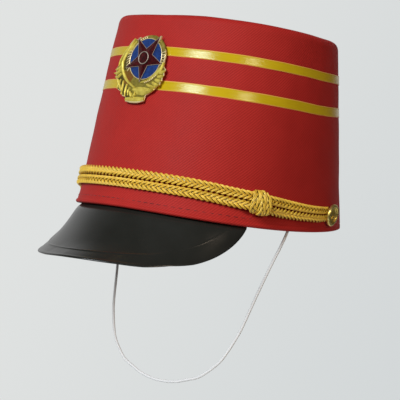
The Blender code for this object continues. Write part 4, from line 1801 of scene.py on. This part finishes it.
@dataclass(frozen=True)
class Badge:
    """The star badge in its own plane: X to the wearer's left, Y up the crown and Z out of it,
    with the star's middle at its origin. The outline is degrees and millimetres, and the star's
    arms and all rows of rises are millimetres. A shade is the first and last band of the plate,
    the degrees where it starts and ends, and its tone."""

    form: CrownForm
    trim: Trim
    finishes: Finishes
    plate: float = 0.0008
    field_radius: float = 0.0143
    field_thickness: float = 0.0005
    field_dome: float = 0.0001
    field_section: Numbers = (0.03, 0.5, 0.985, 1.0, 1.0, 0.99)
    field_rises: Numbers = (0.0, 0.0, 0.0, 0.1, 0.4, 0.48)
    ring_width: float = 0.0035
    ring_rise: float = 0.0006
    star_arms: Numbers = (16.6, 17.5, 18.1, 17.8, 16.7)
    star_turns: Numbers = (-91.0, -18.0, 54.0, 122.0, 199.0)
    star_shift: Pair = (-0.0006, 0.0003)
    star_waist: float = 0.0067
    star_thickness: float = 0.0003
    star_rise: float = 0.0008
    star_shear: float = 0.11
    star_wire: Numbers = (0.975, 1.033, 1.038, 1.02, 0.985, 0.975)
    star_wire_rises: Numbers = (0.1, 0.1, 0.3, 0.5, 0.5, 0.3)
    cushion: Numbers = (0.06, 0.98, 1.0, 0.95, 0.75, 0.45, 0.08)
    cushion_rises: Numbers = (-0.2, -0.2, 0.0, 0.1, 0.2, 0.26, 0.3)
    boss_radius: float = 0.0043
    boss_wire: float = 0.00036
    tight: float = 0.0001
    arch_power: float = 1.6
    arch_columns: Numbers = (-1.0, -0.95, -0.7, -0.4, 0.0, 0.4, 0.7, 0.95, 1.0)
    frond_spacing: float = 0.0005
    frond_root: float = 0.0002
    outline: Pairs = (
        (0, 17.6), (12, 17.7), (39, 17.8), (60, 17.8), (78, 17.4), (90, 17.1), (104, 16.9),
        (120, 16.6), (127, 16.9), (130, 18.2), (134, 19.7), (139, 20.8), (156, 21.3),
        (173, 22.8), (182, 24.7), (192, 25.0), (195, 27.0), (199, 28.2), (200, 27.2),
        (203, 29.2), (206, 28.2), (209, 29.0), (214, 28.0), (221, 28.4), (226, 30.8),
        (231, 30.2), (236, 28.8), (240, 31.0), (246, 30.2), (251, 31.8), (261, 31.6),
        (273, 30.9), (282, 30.2), (283.5, 28.0), (284.5, 26.6), (292, 26.0), (301, 25.4),
        (308, 24.4), (315, 24.9), (318, 23.5), (322, 23.9), (326, 22.3), (332, 22.4),
        (335, 21.1), (341, 21.4), (344, 19.2), (347, 17.8), (360, 17.6),
    )
    shades: tuple[tuple[int, int, float, float, Tone], ...] = (
        (5, 6, 208.0, 238.0, Tone.BROWN),
        # The hollow tone paints shade into the gaps between the teeth and the leaves.
        (5, 6, -18.0, 22.0, Tone.HOLLOW_SHADE),
        (5, 6, 158.0, 206.0, Tone.HOLLOW_SHADE),
        (4, 4, 207.0, 255.0, Tone.HOLLOW_SHADE),
        (0, 3, 24.0, 98.0, Tone.SHADED),
    )
    wires: tuple[Wire, ...] = (
        Wire(0.0002, 0.00028),
        Wire(0.0003, 0.00042, 0.0, 122.0, 170.0),
        Wire(0.0030, 0.00028, -0.0002, -16.0, 12.0),
        Wire(0.0029, 0.00028, -0.0003, 12.0, 76.0, Tone.SHADED),
    )
    teeth: tuple[Teeth, ...] = (
        Teeth(-14.0, 22.0, 6.4, 0.0, 0.0040, 0.0019),
        Teeth(100.0, 130.0, 6.5, 25.0, 0.0024, 0.0012),
        Teeth(162.0, 216.0, 6.8, 30.0, 0.0036, 0.0019),
        Teeth(-76.0, -40.0, 5.0, 0.0, 0.0013, 0.0028, 0.0012, 0.0003),
    )
    fronds: tuple[Frond, ...] = (
        Frond(
            ((-13.4, 14.2), (-17.2, 7.2), (-20.0, 0.8), (-21.0, -4.2), (-18.1, -10.8),
             (-12.5, -16.6), (-4.6, -20.9)),
            (0.9, 2.7, 2.5, 2.4, 2.2, 1.6, 1.4), 0.0008,
        ),
        Frond(((-11.9, 13.0), (-15.0, 8.0), (-17.4, 2.6)), (1.0, 2.6, 1.0)),
        Frond(((-17.8, 9.6), (-21.4, 3.4), (-23.8, -1.6), (-24.2, -5.6)), (0.8, 1.8, 1.6, 0.8)),
        Frond(((-21.4, -5.4), (-24.0, -7.9), (-26.4, -8.6)), (1.6, 2.4, 0.9)),
        Frond(((-21.0, -8.2), (-24.2, -10.9), (-27.0, -11.2)), (1.8, 2.6, 0.9)),
        Frond(((-20.0, -11.0), (-23.0, -13.6), (-25.4, -13.8)), (1.8, 2.6, 0.9)),
        Frond(((-22.0, -15.4), (-19.8, -19.6), (-15.4, -24.2)), (1.2, 2.4, 1.0), 0.0008),
        Frond(((-19.4, -15.0), (-20.8, -19.0), (-21.2, -22.2)), (1.2, 2.0, 0.9)),
        Frond(((-16.8, -16.0), (-16.6, -20.6), (-16.2, -26.0)), (1.0, 1.9, 0.9)),
        Frond(((-12.6, -18.4), (-13.2, -22.4), (-12.6, -27.2)), (1.2, 2.0, 0.9)),
        Frond(((-8.8, -20.4), (-10.4, -23.2), (-9.6, -26.6)), (1.2, 1.9, 0.8)),
        Frond(((-5.8, -27.4), (-7.0, -25.6), (-8.0, -23.4)), (1.6, 2.0, 0.6), 0.0010),
        Frond(((-4.4, -27.4), (-3.4, -26.0), (-2.8, -24.2)), (1.4, 1.7, 0.6), 0.0010),
        Frond(
            ((-5.4, -22.0), (0.4, -22.8), (5.6, -22.8), (10.2, -22.1), (13.2, -21.2)),
            (2.0, 5.4, 6.0, 3.8, 1.4), 0.0007, 0.0010,
        ),
        Frond(
            ((-11.0, -29.2), (-4.6, -29.2), (1.6, -28.9), (6.4, -28.3)),
            (2.6, 3.8, 3.9, 2.4), 0.0005,
        ),
        Frond(
            ((-10.2, -30.4), (-4.9, -30.9), (1.6, -30.6), (6.4, -29.4)),
            (1.0, 1.2, 1.2, 0.9), 0.0007, 0.0004, Tone.PALE,
        ),
        Frond(
            ((17.6, -2.0), (15.9, -6.6), (11.3, -11.7), (6.0, -15.2), (0.6, -16.9)),
            (1.2, 3.4, 2.4, 1.7, 1.1), 0.0009,
        ),
        Frond(((14.6, -9.6), (17.6, -8.8), (19.8, -7.8)), (1.8, 2.7, 1.0)),
        Frond(((14.2, -12.0), (17.1, -12.0), (19.2, -11.2)), (1.8, 2.7, 1.0)),
        Frond(((12.8, -14.4), (16.0, -15.0), (18.5, -14.6)), (1.8, 2.7, 1.0)),
        Frond(((10.6, -16.4), (14.4, -18.0), (17.4, -17.6)), (1.8, 2.7, 1.0)),
        Frond(((6.0, -18.0), (10.8, -19.5), (14.8, -19.9)), (1.6, 2.3, 1.0)),
        Frond(
            ((9.3, 12.1), (10.0, 14.3), (10.6, 16.4)),
            (0.4, 0.9, 0.5), 0.0011, 0.0006, Tone.PALE,
        ),
        Frond(((-9.2, 14.6), (-8.2, 14.9)), (1.0, 1.0), 0.0010, 0.0005, Tone.PALE),
    )

    def seated(self, patch: Patch) -> Patch:
        """Puts a patch on the crown, over the ribbons in front.

        Args:
            patch: A patch in the badge's plane.

        Returns:
            The patch in its place.
        """
        axes = self.form.axes(FRONT, self.trim.badge)
        place = self.form.point(FRONT, self.trim.badge)
        return patch.moved(place + axes[2] * (2 * GAP + self.trim.ribbon_thickness), np.stack(axes))

    def wire(self, radius: float, wire: Wire, level: float) -> Patch:
        """A round wire on a circle or an arc of it.

        Args:
            radius: The circle's radius, without the wire's own way out.
            wire: The wire.
            level: Height of its middle, without its own rise.

        Returns:
            The patch.
        """
        whole = wire.end - wire.start >= 360.0
        angle = np.radians(np.linspace(wire.start, wire.end, 120, endpoint=not whole))
        radius += wire.out
        rise = np.full_like(angle, level + wire.rise)
        path = np.stack([radius * np.cos(angle), radius * np.sin(angle), rise], axis=-1)
        return tube_patch(path, UP, wire.half, wire.half, 8, whole).painted(wire.tone)

    def spread(self, radius: float, teeth: Teeth, level: float) -> Patch:
        """Teeth or beads along an arc. A tooth's half width follows the root of sin of the share
        along it.

        Args:
            radius: The ring's inner radius.
            teeth: The row of teeth.
            level: Height of their middles, without their own rise.

        Returns:
            The patch.
        """
        share = np.linspace(0.03, 0.97, 7)
        half = np.sqrt(np.sin(math.pi * share)) * teeth.width / 2
        path = ((share - 0.5) * teeth.length)[:, None] * np.array([1.0, 0.0, 0.0])
        angle = np.radians(np.arange(teeth.start, teeth.end, teeth.step))
        turned = angle + math.radians(teeth.lean)
        flat = np.zeros_like(angle)
        places = np.stack([np.cos(angle), np.sin(angle), flat], axis=-1) * (radius + teeth.out)
        radial = np.stack([np.cos(turned), np.sin(turned), flat], axis=-1)
        upward = np.broadcast_to(UP, radial.shape)
        axes = np.stack([radial, np.cross(upward, radial), upward], axis=1)
        tooth = tube_patch(path, UP, half, half, 8).painted(Tone.PALE)
        return repeated(tooth, places + UP * (level + teeth.rise), axes)

    def backing(self) -> Patch:
        """The plate: flat behind, with the leaves' outline, pale at its edge and painted with shade
        on top and in its hollows.
        """
        angle = np.radians(np.linspace(0.0, 360.0, 288, endpoint=False))
        degrees = np.degrees(angle)
        edge = np.interp(degrees, *np.array(self.outline).T) * MM
        ring = np.minimum(self.field_radius + self.ring_width, edge + self.tight)
        inner = self.field_radius + self.tight
        top = self.plate
        rows = (
            (0.0008, 0.0),
            (edge * 0.985, 0.0),
            (edge, 0.0003),
            (edge * 0.995, 0.0009),
            (edge - 0.0006, top + 0.0002),
            (mix(edge, ring, 0.5) - 0.0004, top + 0.0001),
            (ring - 0.0008, top + 0.0003),
            (inner, top + 0.0003),
            (inner - 0.0001, top),
            (0.0008, top),
        )
        radius = np.array([np.broadcast_to(row[0], edge.shape) for row in rows])
        patch = turned_patch(radius, np.array([row[1:] for row in rows]), angle)
        # The top rows take the shaded tone: painted shade round the raised leaves.
        bands = [Tone.PALE] * 4 + [Tone.SHADED] * 5 + [Tone.PALE, Tone.SHADED]
        tones = np.repeat(np.array(bands, int)[:, None], len(angle), axis=1)
        for first, last, start, end, tone in self.shades:
            tones[first : last + 1, (degrees - start) % 360 < end - start] = tone
        return replace(patch, slots=tones.ravel())

    def strip(self, frond: Frond) -> Patch:
        """A strip along a frond's line, arched across by 1 - t^power of the share t from its
        middle to its edge.

        Args:
            frond: The frond.

        Returns:
            The patch.
        """
        corners = np.array([(x, y, 0.0) for x, y in frond.route]) * MM
        line = smooth_line(corners, self.frond_spacing)
        share = np.linspace(0.0, 1.0, len(line))
        half = np.interp(share, np.linspace(0.0, 1.0, len(frond.widths)), frond.widths) * MM / 2
        beside = np.cross(UP, unit(np.gradient(line, axis=0))) * half[:, None]
        across = np.array(self.arch_columns)[:, None, None]
        height = self.plate + frond.level + frond.crown * (1 - np.abs(across) ** self.arch_power)
        top = line + beside * across + UP * height
        bottom = top[::-1] * (1 - UP) + UP * (self.plate - self.frond_root)
        rows = np.concatenate([top, bottom])
        v = np.linspace(0.0, 0.02, len(rows) + 1)[:, None]
        return grid_patch(rows, share[None, :] * 0.02, v, False, True, True).painted(frond.tone)

    def leafwork(self) -> None:
        """The gold plate with its ring, leaves and bands."""
        foot, level = self.field_radius + self.tight, self.plate + self.ring_rise
        patches = [self.backing()]
        patches += [self.wire(foot, wire, level) for wire in self.wires]
        patches += [self.spread(foot, teeth, level) for teeth in self.teeth]
        patches += [self.strip(frond) for frond in self.fronds]
        patch = self.seated(joined(patches))
        piece = make_piece("badge_leafwork", patch, self.finishes.plated, 45.0)
        enter(piece, Slot.BADGE, "badge_wreath")

    def enamel_field(self) -> None:
        """The round blue field, with a rounded rim and a dome of 1 - s^2 at a share s of it."""
        share = np.linspace(0.97, 0.03, 12)
        radius = np.concatenate([self.field_section, share]) * self.field_radius
        top = self.field_thickness + self.field_dome * (1 - share**2)
        rise = np.concatenate([np.array(self.field_rises) * MM, top])
        rise += self.plate + self.tight
        patch = self.seated(turned_patch(radius[:, None], rise[:, None], once_round(96)))
        piece = make_piece("badge_enamel", patch, [self.finishes.blue], 50.0)
        enter(piece, Slot.BLUE, "badge_field")

    @property
    def star_base(self) -> float:
        """Height of the star's back."""
        return self.plate + self.field_thickness + 3 * self.tight

    def star(self) -> None:
        """The faceted star of dark red enamel, one tip down, with a low cushion in its middle and
        a thin wire round it."""
        angle = -math.pi / 2 + np.arange(10) * math.pi / 5
        angle[::2] = np.radians(self.star_turns)
        arms = np.repeat(self.star_arms, 2) * MM
        corner = np.where(np.arange(10) % 2 == 0, arms, self.star_waist)
        base, top = self.star_base, self.star_thickness + self.star_rise
        flat = np.full(10, self.boss_radius)
        radius = np.array([flat * 0.2, corner * 0.97, corner, flat, flat * 0.2])
        rise = base + np.array([0.0, 0.0, self.star_thickness, top, top])[:, None]
        scale = np.array(self.star_wire)[:, None]
        height = base + np.array(self.star_wire_rises)[:, None] * MM
        cushion = np.array(self.cushion)[:, None] * self.boss_radius
        cushion_rise = base + top + np.array(self.cushion_rises)[:, None] * MM
        patch = joined([
            turned_patch(radius, rise, angle),
            turned_patch(corner * scale, height, angle, True, False).painted(1),
            turned_patch(cushion, cushion_rise, once_round(48)),
        ])
        slant = np.array([[1.0, self.star_shear, 0.0], [0.0, 1.0, 0.0], [0.0, 0.0, 1.0]])
        patch = self.seated(patch.moved(np.array([*self.star_shift, 0.0]), slant))
        piece = make_piece("badge_red_star", patch, [self.finishes.red, self.finishes.wire], 8.0)
        enter(piece, Slot.RED, "badge_star")

    def boss(self) -> None:
        """A plain thin ring on the star's middle."""
        level = self.star_base + self.star_thickness + self.star_rise + self.tight + self.boss_wire
        ring = self.wire(self.boss_radius, Wire(0.0, self.boss_wire, tone=Tone.GOLD), level)
        patch = self.seated(ring.moved(np.array([*self.star_shift, 0.0]), np.eye(3)))
        piece = make_piece("badge_plain_ring", patch, [self.finishes.wire])
        enter(piece, Slot.BADGE, "badge_boss")

    def build(self) -> None:
        """Makes the badge's four pieces."""
        self.leafwork()
        self.enamel_field()
        self.star()
        self.boss()


@dataclass(frozen=True)
class ChinStrap:
    """The elastic: one loop from inside the crown, under the chin and up the other side."""

    finishes: Finishes
    radius: float = 0.0010
    spacing: float = 0.0020
    sides: int = 12
    half_route: tuple[Triple, ...] = (
        (0.0804, -0.0100, 0.0140),
        (0.0806, -0.0102, 0.0060),
        (0.0802, -0.0108, -0.0030),
        (0.0776, -0.0133, -0.0140),
        (0.0740, -0.0166, -0.0265),
        (0.0679, -0.0226, -0.0505),
        (0.0628, -0.0281, -0.0725),
        (0.0596, -0.0305, -0.0820),
        (0.0548, -0.0332, -0.0928),
        (0.0495, -0.0353, -0.1010),
        (0.0375, -0.0379, -0.1115),
        (0.0265, -0.0390, -0.1160),
        (0.0150, -0.0399, -0.1195),
        (0.0000, -0.0403, -0.1210),
    )

    def line(self) -> np.ndarray:
        """The whole centre line: the half route and its mirror image."""
        half = np.array(self.half_route)
        mirrored = half[-2::-1] * np.array([-1.0, 1.0, 1.0])
        return smooth_line(np.vstack([half, mirrored]), self.spacing)

    def build(self) -> None:
        """Makes the strap and says what it is."""
        path = self.line()
        patch = tube_patch(path, np.array([0.0, 1.0, 0.0]), self.radius, self.radius, self.sides)
        strap = make_piece("elastic_chin_strap", patch, [self.finishes.elastic])
        enter(strap, Slot.ELASTIC, "chin_strap")


@dataclass(frozen=True)
class Lamp:
    """A broad distant lamp: where it shines from, its strength, the angle that it fills and its
    colour. Its angles are in degrees."""

    name: str
    azimuth: float
    height: float
    power: float
    softness: float
    colour: Triple

    def build(self) -> None:
        """Puts the lamp into the scene."""
        data = bpy.data.lights.new(self.name, "SUN")
        data.energy = self.power
        data.color = self.colour
        data.angle = math.radians(self.softness)
        lamp = bpy.data.objects.new(self.name, data)
        azimuth, height = math.radians(self.azimuth), math.radians(self.height)
        level = math.cos(height)
        toward = Vector((level * math.cos(azimuth), level * math.sin(azimuth), math.sin(height)))
        lamp.rotation_euler = toward.to_track_quat("Z", "Y").to_euler()
        lamp.location = toward * 2.0
        bpy.context.scene.collection.objects.link(lamp)


@dataclass(frozen=True)
class Studio:
    """The camera, a soft light on either side of it, the pale room and the floor.

    A span is where a direction's part along an aim starts and ends to matter. The backdrop lies
    along its azimuth, and the room looks a little darker towards the shaded aim.
    """

    camera_place: Triple = (0.5901, -0.7109, 0.0437)
    camera_aim: Triple = (-0.00636, -0.00576, 0.01043)
    camera_roll: float = math.radians(5.866)
    lens: float = 111.75
    sensor: float = 36.0
    lamps: tuple[Lamp, ...] = (
        Lamp("key_light", -82.0, 27.0, 2.80, 24.5, (0.99, 1.04, 1.10)),
        Lamp("side_light", -17.0, 20.0, 0.83, 17.0, (1.07, 0.84, 0.64)),
    )
    floor_level: float = -1.30
    floor_radius: float = 1.70
    floor_columns: int = 96
    seen: tuple[Triple, Triple] = ((0.752, 0.768, 0.760), (0.640, 0.672, 0.680))
    shaded_aim: Triple = (0.70, 0.60, -0.40)
    shaded_span: Pair = (-0.20, 0.35)
    brightness: Pair = (0.06, 0.70)
    backdrop_azimuth: float = math.radians(161.0)
    backdrop_span: Pair = (0.12, 0.60)
    height_span: Pair = (-0.80, -0.40)

    def camera(self) -> None:
        """Puts the camera where the photograph was taken from, rolled a little."""
        data = bpy.data.cameras.new("camera")
        data.lens = self.lens
        data.sensor_width = self.sensor
        data.clip_end = 100.0
        camera = bpy.data.objects.new("camera", data)
        bpy.context.scene.collection.objects.link(camera)
        place, aim = Vector(self.camera_place), Vector(self.camera_aim)
        ahead = (aim - place).normalized()
        level = ahead.cross(Vector((0.0, 0.0, 1.0))).normalized()
        upright = level.cross(ahead)
        right = level * math.cos(self.camera_roll) + upright * math.sin(self.camera_roll)
        up = right.cross(ahead)
        turn = Matrix((right, up, -ahead)).transposed().to_4x4()
        camera.matrix_world = Matrix.Translation(place) @ turn
        bpy.context.scene.camera = camera

    def room(self) -> None:
        """The room as light: dark but for a pale backdrop behind the hat, whose brightness eases
        off with the angle from its middle and with height. Looked at, the room is plain pale."""
        world = bpy.data.worlds.new("studio_room")
        world.use_nodes = True
        bpy.context.scene.world = world
        bench = Bench(world.node_tree)
        bench.tree.nodes.clear()
        direction = bench.node("TexCoord").outputs["Generated"]

        def share(aim: Triple, span: Pair) -> Socket:
            """Eases from 0 to 1 as the direction's part along aim crosses the span."""
            along = bench.node("VectorMath", {0: direction, 1: aim}, operation="DOT_PRODUCT")
            return bench.span(along.outputs["Value"], *span, interpolation_type="SMOOTHSTEP")

        middle = (math.cos(self.backdrop_azimuth), math.sin(self.backdrop_azimuth), 0.0)
        behind = share(middle, self.backdrop_span)
        pale = bench.times(behind, share((0.0, 0.0, -1.0), self.height_span))
        strength = bench.span(pale, 0.0, 1.0, self.brightness)
        tone = bench.colours(share(self.shaded_aim, self.shaded_span), *self.seen)
        rays = bench.node("LightPath").outputs["Is Camera Ray"]
        lit = bench.node("Background", {"Strength": strength}).outputs[0]
        seen = bench.node("Background", {"Color": tone}).outputs[0]
        choice = bench.node("MixShader", {0: rays, 1: lit, 2: seen})
        bench.node("OutputWorld", {"Surface": choice.outputs[0]})

    def floor(self) -> None:
        """A round floor of pale paper, well below the hat."""
        angle = once_round(self.floor_columns)
        radius = (np.array([1.0, 0.6, 0.3, 0.05]) * self.floor_radius)[:, None]
        x, y = radius * np.cos(angle), radius * np.sin(angle)
        points = np.stack([x, y, np.full_like(x, self.floor_level)], axis=-1)
        turns = np.linspace(0.0, 1.0, len(angle) + 1)[None, :]
        rim = np.arange(len(angle)) + 3 * len(angle)
        patch = fanned(grid_patch(points, turns, radius, True), rim, False)
        make_piece("studio_floor", patch, [StudioPaper()])

    def build(self) -> None:
        """Makes the lights, the room and the floor, and shows colours without a film curve."""
        for lamp in self.lamps:
            lamp.build()
        self.room()
        self.floor()
        bpy.context.scene.view_settings.view_transform = "Standard"


def main() -> None:
    """Builds the studio and the hat, piece by piece."""
    logging.basicConfig(level=logging.INFO, format="%(name)s: %(message)s")
    studio = Studio()
    studio.camera()
    finishes = Finishes()
    ChinStrap(finishes).build()
    form, trim = CrownForm(), Trim()
    route = CordRoute(form)
    Crown(form, trim, finishes).build()
    Ribbons(form, trim, finishes).build()
    Peak(form, finishes).build()
    Cords(route, finishes).build()
    Knots(route, finishes).build()
    Buttons(route, finishes).build()
    Badge(form, trim, finishes).build()
    studio.build()


if __name__ == "__main__":
    main()
